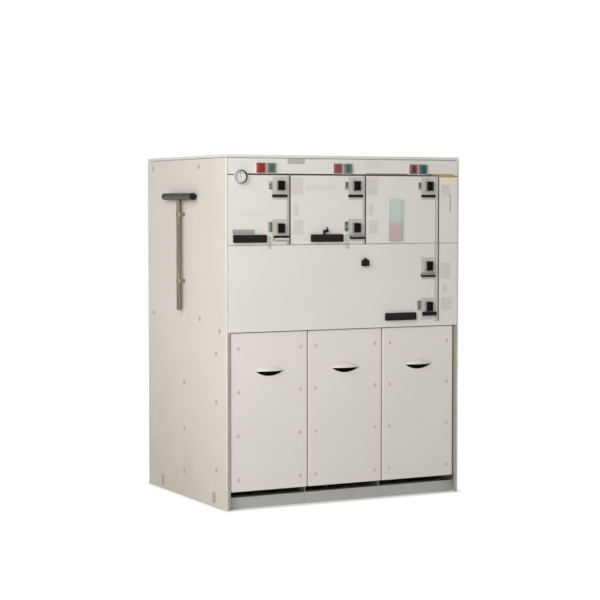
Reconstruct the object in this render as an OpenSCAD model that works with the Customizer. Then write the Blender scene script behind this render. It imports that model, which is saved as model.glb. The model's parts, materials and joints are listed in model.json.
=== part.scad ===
// Three-way gas-insulated ring main unit: two cable switch modules and one fused transformer module.
// X runs along the front to the right, Y from the front to the rear, Z up from the floor.
// The origin is on the floor, in the middle of the four foundation bolts.

/* [Cabinet] */
// Width of one functional module
module_w = 327; // [300:1:420]
// Strip between an outer module and the outside of the cabinet
side_margin = 20; // [18:1:30]
// Depth from the front covers to the rear panel
cabinet_d = 765; // [620:1:950]
// Height from the floor to the roof
cabinet_h = 1336; // [1300:1:1700]
// Thickness of the painted steel sheet
sheet_t = 2; // [1:0.5:3]
// Outside radius of the bends in the sheet
bend_r = 4; // [3:0.5:6]
// Depth of the folded edges of the panels
fold_d = 20; // [12:1:30]
// Width of a side panel's bent edges, seen from the front and the rear
edge_return = 6; // [5:0.5:12]

/* [Front rows] */
// Height of the base beams
base_h = 42; // [40:1:80]
// Shadow gap between the base beams and the cable covers
plinth_gap = 27; // [10:1:30]
// Height of a cable cover
cable_cover_h = 599; // [500:1:680]
// Height of the upper cover
upper_cover_h = 263; // [240:1:320]
// Height of the fascia above the upper cover
fascia_h = 60; // [52:1:80]
// Seam below the fascia, and between the middle cover and the cable covers
seam = 3; // [1:0.5:5]
// Seam between the upper and the middle cover
cover_seam = 1; // [0.5:0.5:5]
// Gap between a fixed cover and the bent edges of the side panels
edge_gap = 2; // [1:0.5:4]
// Height of the roof's folded edge
roof_edge_h = 10; // [8:1:20]
// Diameter of the dimple that takes a panel screw
dimple_d = 20; // [14:1:24]
// Depth of that dimple
dimple_depth = 1; // [0.5:0.1:1.5]
// Groove under the roof's folded edge
roof_groove = 2; // [2:0.5:6]
// Depth of that groove
roof_groove_d = 8; // [5:1:15]

/* [Cable covers] */
// Gap round a cable cover
cover_gap = 5; // [5:0.5:8]
// Distance a cable cover is lifted to come off its hooks
cover_lift = 20; // [12:1:30]
// Clearance of a lifted cable cover behind the middle cover
lift_clearance = 5; // [5:0.5:10]
// Width of the pressed grip
grip_w = 130; // [90:1:160]
// Height and reach of the grip's hood
grip_h = 19; // [14:1:30]
// Opening in the cover below the lip of the hood
grip_slot_h = 19; // [6:1:24]
// Height of the grip's lip above the lower edge of the cover
grip_rise = 452; // [300:1:520]
// Rise of the lower and the upper hooks above the lower edge of the cover
hook_rise_low = 110; // [60:1:200]
hook_rise_high = 520; // [350:1:540]
// Height of a hook's arm
hook_arm_h = 8; // [6:1:12]
// Clearance between a hook and the folded edge that its foot is welded to
hook_standoff = 1.5; // [1:0.5:3]
// Drop of a hook's nose behind the post, less than the lift of the cover
hook_drop = 10; // [6:1:11]
// Clearance on each side of a hook in its slot
hook_gap = 1; // [0.5:0.5:2]

/* [Frame] */
// Recess of the front base beam behind the covers
toe_recess = 37; // [25:1:60]
// Depth of a base beam
beam_d = 40; // [30:1:60]
// Height of the side base beams, which close the slots in the feet of the side panels
side_beam_h = 58; // [57:1:80]
// Thickness of the base beams
beam_t = 3; // [2:0.5:5]
// Depth of a front post
post_d = 50; // [45:1:70]
// Reach of a post's inner flange behind the cable cover
post_flange = 28; // [20:1:40]
// Thickness of the zinc-coated posts and partitions
frame_t = 2; // [1.5:0.5:3]
// Width of a partition's front flange
partition_flange = 30; // [24:1:50]
// Diameter of a foundation bolt hole
anchor_hole_d = 13; // [9:1:18]
// Distance of a foundation bolt from the front and the rear
anchor_inset = 82.5; // [60:0.5:140]
// Width of a lifting slot at the foot of a side panel
foot_slot_w = 30; // [20:1:40]
// Height of that slot
foot_slot_h = 42; // [36:1:60]
// Height of the slot's centre above the floor
foot_slot_z = 35; // [32:1:60]
// Distance of the slots from the point midway between them
foot_slot_pitch = 250; // [150:1:280]
// Distance of that point from the middle of the side panel, towards the front
foot_slot_shift = 18; // [0:1:40]

/* [Gas tank] */
// Height of the space between the lifted cable covers and the tank
tank_clearance = 12; // [6:1:30]
// Depth of the operating mechanisms' space in front of the tank
mechanism_d = 150; // [100:1:220]
// Space behind the tank
tank_rear_gap = 40; // [25:1:100]
// Space above the tank
tank_top_gap = 30; // [20:1:80]
// Space between the tank and a side panel
tank_side_gap = 24; // [20:1:40]
// Thickness of the stainless plate
tank_t = 3; // [2:0.5:5]

/* [Controls] */
// Place of the shafts to the right of a module's middle
drive_offset = 41; // [20:1:60]
// Drop of the upper shafts below the top of the upper cover
drive_drop = 39; // [36:1:60]
// Rise of the lower shafts above the bottom of the upper cover
drive_rise = 63; // [60:1:80]
// Drop of the fused module's middle shaft below the top of the middle cover
fused_drop = 89; // [70:1:110]
// Rise of the fused module's lowest shaft above the bottom of the middle cover
fused_rise = 77; // [70:1:110]
// Width of a shaft's socket, outside
socket_w = 31; // [28:1:40]
// Height of a socket, outside
socket_h = 36; // [32:1:44]
// Reach of a socket in front of its plate
socket_d = 14; // [12:1:20]
// Thickness of a socket's walls and floor
socket_t = 3.5; // [2:0.5:4]
// Width across the flats of the hexagonal shafts
shaft_flats = 14; // [12:1:18]
// Length of shaft inside its socket
shaft_l = 4; // [3:0.5:5]
// Width of a padlock slide
slide_w = 62; // [50:1:70]
// Height of an upper padlock slide
slide_h = 10; // [8:1:14]
// Height of a lower padlock slide
low_slide_h = 15; // [8:1:16]
// Reach of a padlock slide in front of its plate
slide_d = 9; // [6:1:14]
// Drop of an upper padlock slide below the middle of its shaft
slide_drop = 39; // [34:1:46]
// Drop of a lower padlock slide below the middle of its shaft
low_slide_drop = 36; // [32:1:46]
// Place of a module's lowest padlock slide to the right of the ones above
low_slide_shift = 7; // [0:1:10]
// Rise of the fused module's lowest padlock slide above the usual place
fused_slide_rise = 7; // [0:1:8]
// Thickness of the control plates
plate_t = 1.5; // [1:0.5:3]
// Width of the band that joins a control plate's blocks
band_w = 16; // [12:1:24]
// Place of the band's right edge to the right of the shafts
band_offset = 44; // [38:1:60]
// Thickness of a position indicator
indicator_t = 5; // [3:0.5:8]
// Height of an upper position indicator
indicator_h = 30; // [24:1:40]
// Width of an upper position indicator
indicator_w = 14; // [10:1:18]
// Height of a lower position indicator
low_indicator_h = 38; // [30:1:46]
// Width of a lower position indicator
low_indicator_w = 17; // [12:1:24]
// Gap between a position indicator and its control plate
indicator_gap = 1; // [0.5:0.5:4]

/* [Instruments] */
// Width of a voltage indicator
voltage_w = 136; // [110:1:150]
// Height of a voltage indicator
voltage_h = 29; // [26:1:40]
// Reach of a voltage indicator in front of its cover
voltage_d = 12; // [8:1:20]
// Place of a voltage indicator to the left of a module's middle
voltage_offset = 87; // [78:1:88]
// Width of a voltage indicator's raised edge
voltage_rim = 3; // [2:0.5:5]
// Diameter of the pressure gauge
gauge_d = 54; // [45:1:60]
// Depth of the pressure gauge
gauge_depth = 14; // [12:1:32]
// Place of the gauge to the left of the first module's middle
gauge_offset = 125; // [100:1:128]
// Drop of the gauge's middle below the top of the upper cover
gauge_drop = 7; // [4:1:20]
// Width of the fuse status window
window_w = 64; // [50:1:80]
// Height of the fuse status window
window_h = 164; // [120:1:180]
// Place of the window to the left of the fused module's middle
window_offset = 108; // [95:1:120]

/* [Push buttons] */
// Width of a push button
button_w = 36; // [28:1:40]
// Height of a push button
button_h = 37; // [28:1:38]
// Reach of a push button in front of its bezel
button_out = 5; // [5:0.5:8]
// Travel of a push button
button_travel = 4; // [2:0.5:4]
// Clearance round a push button
button_gap = 0.5; // [0.3:0.1:1]
// Width of the bezel's rim
bezel_rim = 2.5; // [2:0.5:3]
// Reach of the bezel in front of the fascia
bezel_out = 3; // [2:0.5:6]
// Width of the bezel between the two buttons of a pair
bezel_bar = 6.5; // [2:0.5:8]

/* [Operating lever] */
// Length of the crossbar
crossbar_l = 288; // [240:1:420]
// Diameter of the crossbar
crossbar_d = 27; // [20:1:32]
// Length of the plugs in the ends of the crossbar
bar_plug_l = 14; // [8:1:30]
// Length of the stem below the crossbar
stem_l = 444; // [300:1:500]
// Diameter of the stem
stem_d = 20; // [15:1:24]
// Height of the crossbar's axis above the floor
lever_z = 1181; // [1000:1:1240]
// Distance of the lever's axis from the side panel
lever_standoff = 18; // [17:1:45]
// Width of a lever clip along the stem
clip_h = 14; // [10:1:30]
// Thickness of a lever clip
clip_t = 1.5; // [1:0.5:3]

/* [Hidden] */
$fn = 48;
EPS = 0.01;

cabinet_w = 3 * module_w + 2 * side_margin;
front_y = -cabinet_d / 2;
rear_y = cabinet_d / 2;
inner_x = cabinet_w / 2 - sheet_t;
cover_w = cabinet_w - 2 * edge_return - 2 * edge_gap;
MODULE_X = [-module_w, 0, module_w];

// Levels of the front rows, from the floor up
cable_z0 = base_h + plinth_gap;
cable_z1 = cable_z0 + cable_cover_h;
middle_z0 = cable_z1 + seam;
side_top = cabinet_h - roof_edge_h - roof_groove;
fascia_z0 = side_top - fascia_h;
upper_z1 = fascia_z0 - seam;
upper_z0 = upper_z1 - upper_cover_h;
middle_z1 = upper_z0 - cover_seam;

// Planes behind the front
sheet_back_y = front_y + sheet_t;
cable_cover_y = sheet_back_y + lift_clearance;
cable_cover_back_y = cable_cover_y + fold_d;
flange_y = cable_cover_back_y + cover_gap + 0.5;
flange_z0 = cable_z0 + 6;
beam_y = front_y + toe_recess;

cable_cover_w = module_w - cover_gap;
hook_x = cable_cover_w / 2 - 2 * sheet_t - hook_standoff;
HOOK_Z = [cable_z0 + hook_rise_low, cable_z0 + hook_rise_high];
post_x0 = 1.5 * module_w - cover_gap / 2 + cover_gap;

tank_z0 = cable_z1 + cover_lift + tank_clearance;
tank_z1 = side_top - tank_top_gap;
tank_y0 = sheet_back_y + mechanism_d;
tank_y1 = rear_y - tank_rear_gap;
tank_w = cabinet_w - 2 * tank_side_gap;

anchor_x = inner_x - beam_d / 2;
anchor_y = cabinet_d / 2 - anchor_inset;

upper_drive_z = upper_z1 - drive_drop;
lower_drive_z = upper_z0 + drive_rise;
DRIVES_1 = [[MODULE_X[0] + drive_offset, upper_drive_z], [MODULE_X[0] + drive_offset, lower_drive_z]];
DRIVES_2 = [[MODULE_X[1] + drive_offset, upper_drive_z], [MODULE_X[1] + drive_offset, lower_drive_z]];
DRIVES_3 = [
    [MODULE_X[2] + drive_offset, upper_drive_z],
    [MODULE_X[2] + drive_offset, middle_z1 - fused_drop],
    [MODULE_X[2] + drive_offset, middle_z0 + fused_rise]
];
DRIVES = concat(DRIVES_1, DRIVES_2, DRIVES_3);
// Screws of a side panel, as distances behind the front and heights
SIDE_SCREWS = [
    [250, side_top - 30], [cabinet_d - 57, side_top - 30], [cabinet_d - 59, cable_z1 + 42], [244, cable_z1 + 42],
    [60, cable_z1 + 6], [92, cable_z0 + 517], [92, cable_z0 + 332], [92, cable_z0 + 74],
    [395, cable_z0 + 384], [395, cable_z0 + 199], [395, cable_z0 + 30]
];
REAR_SCREW_Z = [base_h + 40, cable_z0 + 332, cable_z1 + 42, side_top - 40];
UPPER_DRIVES = [DRIVES_1[0], DRIVES_2[0], DRIVES_3[0]];
LOWER_DRIVES = [DRIVES_1[1], DRIVES_2[1], DRIVES_3[1], DRIVES_3[2]];
plate_y = front_y - plate_t;
block_left = 33;
block_top = 34;
block_bottom = slide_drop + 14;

voltage_z = upper_z0 + 24;
fused_voltage_z = middle_z0 + 41;
window_z = upper_z0 + 8 + window_h / 2;
button_z = fascia_z0 + 23.5;
button_pitch = button_w + 2 * button_gap + bezel_bar;
// Middle of each pair of buttons, from its module's middle
PAIR_OFFSET = [-18, -17, -8];

lever_x = -cabinet_w / 2 - lever_standoff;
lever_y = 18;
CLIP_Z = [lever_z - 70, lever_z - 330];

// ---- Shared shapes ----

// A rectangle with round corners, centred, as true arcs
module rounded_rect(w, h, r) {
    square([w - 2 * r, h], center = true);
    square([w, h - 2 * r], center = true);
    for (x = [-1, 1], y = [-1, 1]) {
        translate([x * (w / 2 - r), y * (h / 2 - r)]) circle(r);
    }
}

// A flat block that stands in front of the plane y = 0, with its outline drawn as seen from the front
module front_block(depth) {
    rotate([90, 0, 0]) linear_extrude(depth) children();
}

// A channel as a plan outline: a web of width w with two round bends and flanges of depth d
module channel_outline(w, d, t, r) {
    difference() {
        translate([0, d]) rounded_rect(w, 2 * d, r);
        translate([0, d]) rounded_rect(w - 2 * t, 2 * d - 2 * t, r - t + EPS);
        translate([-w, d]) square([2 * w, 2 * d]);
    }
}

// A sheet folded back along all four edges, its face in the plane y = 0 and its foot at z = 0
module folded_cover(w, h, d, t, r) {
    linear_extrude(h) channel_outline(w, d, t, r);
    for (z = [0, h - t]) {
        translate([-w / 2 + r, t / 2, z]) cube([w - 2 * r, d - t / 2, t]);
    }
}

// A plain front cover between two heights, with its top edge folded back, and its lower edge too where asked
module fixed_cover(z0, z1, fold_low) {
    translate([-cover_w / 2, front_y, z0]) rotate([90, 0, 90]) linear_extrude(cover_w) difference() {
        translate([0, (z1 - z0) / 2]) rotate(-90) channel_outline(z1 - z0, fold_d, sheet_t, bend_r);
        if (!fold_low) translate([sheet_t, -1]) square([fold_d, bend_r + sheet_t]);
    }
    if (!fold_low) {
        translate([-cover_w / 2, front_y, z0]) cube([cover_w, sheet_t, 2 * bend_r]);
    }
}

// A quarter of a bend, to the right of and in front of its centre
module bend_outline(r, t) {
    intersection() {
        difference() {
            circle(r);
            circle(r - t + EPS);
        }
        translate([0, -r]) square(r);
    }
}

// Draws its children, which stand on the right, on the given side of the cabinet
module on_side(side) {
    if (side > 0) children();
    else mirror([1, 0, 0]) children();
}

// ---- Frame ----

// A base beam of channel section, open to the inside, from x0 to x1 with its face in the plane y = 0
module cross_beam(x0, x1) {
    difference() {
        translate([x0, 0, 0]) cube([x1 - x0, beam_d, base_h]);
        translate([x0 - 1, beam_t, beam_t]) cube([x1 - x0 + 2, beam_d, base_h - 2 * beam_t]);
    }
}

// The front beam. Its face runs on past its flanges, almost to the webs of the posts.
module base_beam_front() {
    joint_w = 3;
    joint_d = 1;
    face_x = inner_x - frame_t - 0.5;
    color("lightsteelblue") difference() {
        union() {
            translate([0, beam_y, 0]) cross_beam(-inner_x + beam_d, inner_x - beam_d);
            translate([-face_x, beam_y, 0]) cube([2 * face_x, beam_t, base_h]);
        }
        for (x = [-0.5, 0.5]) {
            translate([x * module_w - joint_w / 2, beam_y - 1, -1]) cube([joint_w, 1 + joint_d, base_h + 2]);
        }
    }
}

module base_beam_rear() {
    color("lightsteelblue") translate([0, rear_y - sheet_t, 0]) mirror([0, 1, 0])
        cross_beam(-inner_x + beam_d, inner_x - beam_d);
}

// The beam under one side panel, with the foundation bolt holes in its lower flange
module side_beam(side) {
    y0 = front_y + post_d + sheet_t;
    y1 = rear_y - fold_d - 1;
    on_side(side) color("lightsteelblue") difference() {
        translate([inner_x - beam_d, y0, 0]) cube([beam_d, y1 - y0, side_beam_h]);
        translate([inner_x - beam_d - 1, y0 - 1, beam_t])
            cube([beam_d + 1 - beam_t, y1 - y0 + 2, side_beam_h - 2 * beam_t]);
        for (y = [-anchor_y, anchor_y]) {
            translate([anchor_x, y, -1]) cylinder(d = anchor_hole_d, h = beam_t + 2);
        }
    }
}

module base_beam_left() side_beam(-1);
module base_beam_right() side_beam(1);

// The slots that take the hooks of a cable cover's edge, on one side of its middle
module hook_slots(side) {
    slot_h = hook_arm_h + cover_lift + 2;
    for (z = HOOK_Z) {
        translate([side * (hook_x + sheet_t / 2) - sheet_t / 2 - hook_gap, flange_y - 1, z])
            cube([sheet_t + 2 * hook_gap, frame_t + 2, slot_h]);
    }
}

// A post folded from one strip, with a rebate that takes the edge of a cable cover and ends a little above its foot.
// Notches let the folded edges of the fixed covers through.
module front_post(side) {
    notch_gap = 1.5;
    on_side(side) color("silver") difference() {
        union() {
            linear_extrude(side_top) {
                translate([post_x0, sheet_back_y]) square([inner_x - bend_r - post_x0, frame_t]);
                translate([inner_x - bend_r, sheet_back_y + bend_r]) bend_outline(bend_r, frame_t);
                translate([inner_x - frame_t, sheet_back_y + bend_r]) square([frame_t, post_d - bend_r]);
            }
            translate([0, 0, flange_z0]) linear_extrude(side_top - flange_z0) {
                translate([post_x0, sheet_back_y]) square([frame_t, flange_y - sheet_back_y]);
                translate([post_x0 - post_flange, flange_y]) square([post_flange + frame_t, frame_t]);
            }
        }
        for (level = [[middle_z1, upper_z0], [upper_z1, fascia_z0], [side_top, side_top + 1]]) {
            z0 = level[0] - bend_r - notch_gap;
            translate([post_x0 - 1, sheet_back_y - 1, z0])
                cube([cover_w / 2 + notch_gap - post_x0 + 1, fold_d, level[1] + bend_r + notch_gap - z0]);
        }
        translate([module_w, 0, 0]) hook_slots(1);
    }
}

module front_post_left() front_post(-1);
module front_post_right() front_post(1);

// A partition between two cable compartments, with a flange behind the gap between their covers
module partition(side) {
    height = tank_z0 - base_h;
    color("silver") translate([side * module_w / 2, 0, 0]) difference() {
        union() {
            translate([-frame_t / 2, flange_y, base_h]) cube([frame_t, tank_y1 - flange_y, height]);
            translate([-partition_flange / 2, flange_y, flange_z0])
                cube([partition_flange, frame_t, tank_z0 - flange_z0]);
        }
        for (hand = [-1, 1]) {
            translate([-hand * module_w / 2, 0, 0]) hook_slots(hand);
        }
    }
}

module partition_left() partition(-1);
module partition_right() partition(1);

// ---- Gas tank ----

module gas_tank() {
    corner_r = 20;
    depth = tank_y1 - tank_y0;
    height = tank_z1 - tank_z0;
    color("lightgray") translate([0, tank_y0, tank_z0]) difference() {
        linear_extrude(height) translate([0, depth / 2]) rounded_rect(tank_w, depth, corner_r);
        translate([0, 0, tank_t]) linear_extrude(height)
            translate([0, depth / 2]) rounded_rect(tank_w - 2 * tank_t, depth - 2 * tank_t, corner_r - tank_t);
    }
}

module gas_tank_lid() {
    lip = 10;
    color("lightgray") translate([0, (tank_y0 + tank_y1) / 2, tank_z1]) linear_extrude(tank_t)
        rounded_rect(tank_w + lip, tank_y1 - tank_y0 + lip, 24);
}

// ---- Panels ----

// The right side panel in plan: a web whose front and rear edges are bent in
module side_outline() {
    cut = cabinet_d - edge_return;
    translate([cabinet_w / 2 - cabinet_d / 2, 0]) difference() {
        rounded_rect(cabinet_d, cabinet_d, bend_r);
        rounded_rect(cabinet_d - 2 * sheet_t, cabinet_d - 2 * sheet_t, bend_r - sheet_t + EPS);
        translate([-cabinet_d / 2 - 1, -cabinet_d]) square([cut + 1, 2 * cabinet_d]);
    }
}

module side_panel(side) {
    top_y0 = front_y + post_d + 2 * sheet_t;
    top_y1 = rear_y - fold_d - 2 * sheet_t;
    on_side(side) color("gainsboro") difference() {
        union() {
            linear_extrude(side_top) side_outline();
            translate([inner_x - fold_d, top_y0, side_top - sheet_t])
                cube([fold_d + sheet_t / 2, top_y1 - top_y0, sheet_t]);
        }
        for (y = [-foot_slot_pitch, foot_slot_pitch]) {
            translate([inner_x - 1, y - foot_slot_shift, foot_slot_z]) rotate([90, 0, 90])
                linear_extrude(sheet_t + 2) rounded_rect(foot_slot_w, foot_slot_h, 6);
        }
        for (place = SIDE_SCREWS) {
            translate([cabinet_w / 2 - dimple_depth, front_y + place[0], place[1]]) rotate([0, 90, 0])
                cylinder(d = dimple_d, h = dimple_depth + 1);
        }
    }
}

module side_panel_left() side_panel(-1);
module side_panel_right() side_panel(1);

module rear_panel() {
    color("gainsboro") difference() {
        translate([0, rear_y, base_h]) mirror([0, 1, 0])
            folded_cover(cover_w, side_top - base_h, fold_d, sheet_t, bend_r);
        for (x = [-1, 1], z = REAR_SCREW_Z) {
            translate([x * (cover_w / 2 - 40), rear_y - dimple_depth, z]) rotate([-90, 0, 0])
                cylinder(d = dimple_d, h = dimple_depth + 1);
        }
    }
}

// The upper half of a rectangle with round corners, standing on y = 0
module dome_outline(w, h, r) {
    difference() {
        rounded_rect(w, 2 * h, r);
        translate([-w, -2 * h]) square([2 * w, 2 * h]);
    }
}

// A flat block with round upper edges and corners
module soft_block(w, d, h, r) {
    intersection() {
        translate([0, d / 2, 0]) rotate([90, 0, 0]) linear_extrude(d) dome_outline(w, h, r);
        translate([-w / 2, 0, 0]) rotate([90, 0, 90]) linear_extrude(w) dome_outline(d, h, r);
        linear_extrude(h) rounded_rect(w, d, r);
    }
}

// A plate with an edge bent down, on an inner rim that stands on the side panels
module roof_panel() {
    rim_w = cabinet_w - 2 * roof_groove_d;
    rim_d = cabinet_d - 2 * roof_groove_d;
    color("whitesmoke") {
        translate([0, 0, cabinet_h - roof_edge_h]) difference() {
            soft_block(cabinet_w, cabinet_d, roof_edge_h, bend_r);
            translate([0, 0, -EPS]) soft_block(cabinet_w - 2 * sheet_t, cabinet_d - 2 * sheet_t,
                roof_edge_h - sheet_t + EPS, bend_r - sheet_t + EPS);
        }
        translate([0, 0, side_top]) linear_extrude(cabinet_h - side_top - sheet_t) difference() {
            square([rim_w, rim_d], center = true);
            square([rim_w - 2 * sheet_t, rim_d - 2 * sheet_t], center = true);
        }
    }
}

// ---- Front ----

function button_x(index, hand) = MODULE_X[index] + PAIR_OFFSET[index] + hand * button_pitch / 2;

// The fascia with a raised bezel round each pair of push buttons
module fascia() {
    hole_w = button_w + 2 * button_gap;
    hole_h = button_h + 2 * button_gap;
    color("whitesmoke") difference() {
        union() {
            fixed_cover(fascia_z0, side_top, false);
            for (index = [0:2]) {
                translate([MODULE_X[index] + PAIR_OFFSET[index], front_y + EPS, button_z])
                    front_block(bezel_out + EPS)
                        rounded_rect(2 * hole_w + bezel_bar + 2 * bezel_rim, hole_h + 2 * bezel_rim, 3);
            }
        }
        for (index = [0:2], hand = [-1, 1]) {
            translate([button_x(index, hand), sheet_back_y + 1, button_z])
                front_block(bezel_out + sheet_t + 2) square([hole_w, hole_h], center = true);
        }
    }
}

module upper_cover() {
    color("whitesmoke") fixed_cover(upper_z0, upper_z1, true);
}

module middle_cover() {
    color("whitesmoke") fixed_cover(middle_z0, middle_z1, false);
}

// Radius of an arc with the given chord and rise
function arc_radius(chord, rise) = (chord * chord / 4 + rise * rise) / (2 * rise);

// One side of a lens: the area between a chord along Y and its arc, towards +X
module half_lens(chord, rise) {
    radius = arc_radius(chord, rise);
    intersection() {
        translate([rise - radius, 0]) circle(radius, $fn = 180);
        translate([0, -chord]) square([rise + 1, 2 * chord]);
    }
}

// A quarter turn of a lens about its chord, which lies along X: the outside of a grip's hood
module hood_solid(chord, rise) {
    rotate([180, -90, 0]) rotate_extrude(angle = 90, $fn = 72) half_lens(chord, rise);
}

// A hood drawn out of the sheet and open at its foot, with its lip at z = 0
module grip_hood() {
    difference() {
        hood_solid(grip_w, grip_h);
        hood_solid(grip_w - 6 * sheet_t, grip_h - sheet_t);
    }
}

// The hole in the sheet behind and below the hood
module grip_hole() {
    translate([0, 1, 0]) front_block(fold_d) {
        rotate(90) half_lens(grip_w - 6 * sheet_t, grip_h - sheet_t);
        rotate(-90) half_lens(grip_w - 6 * sheet_t, grip_slot_h);
    }
}

// A hook on the inside of a cable cover's folded edge. Its arm runs back through a slot in the post and sits on
// the foot of the slot, and its nose hangs behind.
module cover_hook() {
    weld_l = fold_d - bend_r - 2;
    nose_w = 6;
    arm_l = flange_y + frame_t + hook_gap - cable_cover_back_y;
    translate([0, cable_cover_back_y, 0]) {
        translate([0, -weld_l, -hook_drop])
            cube([1.5 * sheet_t + hook_standoff, weld_l - 2, 2 * hook_drop + hook_arm_h]);
        translate([0, -weld_l / 2, 0]) cube([sheet_t, weld_l / 2 + arm_l + nose_w, hook_arm_h]);
        translate([0, arm_l, -hook_drop]) cube([sheet_t, nose_w, hook_drop + hook_arm_h]);
    }
}

module cable_cover(index) {
    color("gainsboro") translate([MODULE_X[index], 0, 0]) {
        translate([0, cable_cover_y, cable_z0]) {
            difference() {
                folded_cover(cable_cover_w, cable_cover_h, fold_d, sheet_t, bend_r);
                translate([0, sheet_t, grip_rise]) grip_hole();
            }
            translate([0, EPS, grip_rise]) grip_hood();
        }
        for (side = [-1, 1], z = HOOK_Z) {
            on_side(side) translate([hook_x, 0, z]) cover_hook();
        }
    }
}

module cable_cover_1() cable_cover(0);
module cable_cover_2() cable_cover(1);
module cable_cover_3() cable_cover(2);

// ---- Controls ----

// A block of a control plate round one shaft, as seen from the front
module plate_block(drive) {
    left = drive[0] - block_left;
    right = drive[0] + band_offset;
    translate([left, drive[1] - block_bottom]) square([right - left, block_bottom + block_top]);
}

// The band along the right of a control plate
module plate_band(drive, z0, z1) {
    translate([drive[0] + band_offset - band_w, z0]) square([band_w, z1 - z0]);
}

module control_plate(drives, z0, z1) {
    color("darkgray") translate([0, front_y, 0]) front_block(plate_t) {
        for (drive = drives) plate_block(drive);
        plate_band(drives[0], z0, z1);
    }
}

module control_plate_1() control_plate(DRIVES_1, upper_z0, upper_z1);
module control_plate_2() control_plate(DRIVES_2, upper_z0, upper_z1);
module control_plate_3_upper() control_plate([DRIVES_3[0]], upper_z0, upper_z1);
module control_plate_3_lower() control_plate([DRIVES_3[1], DRIVES_3[2]], middle_z0 + 17, middle_z1);

// Moulded cups round the shafts, open to the front
module drive_sockets(drives) {
    color("black") for (drive = drives) {
        translate([drive[0], plate_y, drive[1]]) difference() {
            front_block(socket_d) rounded_rect(socket_w, socket_h, 3);
            translate([0, -socket_t, 0]) front_block(socket_d)
                rounded_rect(socket_w - 2 * socket_t, socket_h - 2 * socket_t, 1.5);
        }
    }
}

module drive_sockets_1() drive_sockets(DRIVES_1);
module drive_sockets_2() drive_sockets(DRIVES_2);
module drive_sockets_3() drive_sockets(DRIVES_3);

module drive_shafts() {
    color("silver") for (drive = DRIVES) {
        translate([drive[0], plate_y - socket_t, drive[1]]) rotate([90, 0, 0])
            cylinder(d = shaft_flats / cos(30), h = shaft_l, $fn = 6);
    }
}

// A sliding bar that a padlock holds over a socket, with a finger ridge at its ends
module padlock_slide(height) {
    ridge_w = 5;
    ridge_d = 2;
    front_block(slide_d - ridge_d) rounded_rect(slide_w, height, 2);
    for (x = [-1, 1]) {
        translate([x * (slide_w / 2 - ridge_w), 0, 0]) front_block(slide_d) rounded_rect(ridge_w, height, 1);
    }
}

module padlock_slides() {
    offset_x = -3;
    color("black") {
        for (drive = UPPER_DRIVES) {
            translate([drive[0] + offset_x, plate_y, drive[1] - slide_drop]) padlock_slide(slide_h);
        }
        translate([DRIVES_3[1][0] + offset_x, plate_y, DRIVES_3[1][1] - low_slide_drop])
            padlock_slide(low_slide_h);
        for (lowest = [[DRIVES_1[1], 0], [DRIVES_2[1], 0], [DRIVES_3[2], fused_slide_rise]]) {
            drive = lowest[0];
            translate([drive[0] + offset_x + low_slide_shift, plate_y, drive[1] - low_slide_drop + lowest[1]])
                padlock_slide(low_slide_h);
        }
    }
}

// A small window with a raised edge, its right edge beside a control plate
module position_indicator(w, h) {
    rim = 1.5;
    translate([-block_left - indicator_gap - w / 2, front_y, 0]) difference() {
        front_block(indicator_t) rounded_rect(w, h, 2);
        translate([0, -indicator_t + 1, 0]) front_block(indicator_t) rounded_rect(w - 2 * rim, h - 2 * rim, 1);
    }
}

module position_indicators() {
    low_rise = 5;
    color("seagreen") {
        for (drive = UPPER_DRIVES) {
            translate([drive[0], 0, drive[1]]) position_indicator(indicator_w, indicator_h);
        }
        for (drive = [LOWER_DRIVES[0], LOWER_DRIVES[1], LOWER_DRIVES[3]]) {
            translate([drive[0], 0, drive[1] + low_rise]) position_indicator(low_indicator_w, low_indicator_h);
        }
    }
}

// ---- Instruments ----

// A voltage indicator: a flat case with a raised edge and three pairs of test sockets' caps
module voltage_indicator(index, z) {
    face_drop = 2;
    cap_d = 8;
    cap_pitch = voltage_w / 4;
    color("black") translate([MODULE_X[index] - voltage_offset, front_y, z]) {
        difference() {
            front_block(voltage_d) rounded_rect(voltage_w, voltage_h, 3);
            translate([0, -voltage_d + face_drop, 0]) front_block(voltage_d)
                rounded_rect(voltage_w - 2 * voltage_rim, voltage_h - 2 * voltage_rim, 1.5);
        }
        for (x = [-cap_pitch, 0, cap_pitch]) {
            translate([x, -voltage_d + face_drop + EPS, -voltage_h / 6]) rotate([90, 0, 0])
                cylinder(d = cap_d, h = face_drop, $fn = 24);
        }
    }
}

module voltage_indicator_1() voltage_indicator(0, voltage_z);
module voltage_indicator_2() voltage_indicator(1, voltage_z);
module voltage_indicator_3() voltage_indicator(2, fused_voltage_z);

// A test plug parked on top of the second module's voltage indicator: a neck, an arm and a knob with a pin
module test_plug() {
    neck_w = 6;
    neck_h = 17;
    knob_d = 11;
    knob_x = 12;
    pin_d = 5;
    pin_h = 15;
    depth = voltage_d - 2;
    color("black") translate([MODULE_X[1] - voltage_offset - 12, front_y, voltage_z + voltage_h / 2]) {
        translate([0, 0, neck_h / 2]) front_block(depth) rounded_rect(neck_w, neck_h, 1);
        translate([knob_x / 2, 0, neck_h - 3]) front_block(depth - 2) rounded_rect(knob_x + 4, 5, 1);
        translate([knob_x, 0, neck_h - 4]) rotate([90, 0, 0]) cylinder(d = knob_d, h = depth);
        translate([knob_x, -depth / 2, neck_h - 4]) cylinder(d = pin_d, h = pin_h);
    }
}

// A round dial case with a rim that rises round its glass
module pressure_gauge() {
    rim = 2;
    glass_drop = 9;
    color("slategray") translate([MODULE_X[0] - gauge_offset, front_y, upper_z1 - gauge_drop]) rotate([90, 0, 0])
        rotate_extrude($fn = 96) difference() {
            union() {
                square([gauge_d / 2 - rim, gauge_depth / 2]);
                translate([0, 2]) square([gauge_d / 2, gauge_depth - 2]);
            }
            translate([-1, gauge_depth - glass_drop]) square([gauge_d / 2 - rim + 1, glass_drop + 1]);
        }
}

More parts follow.
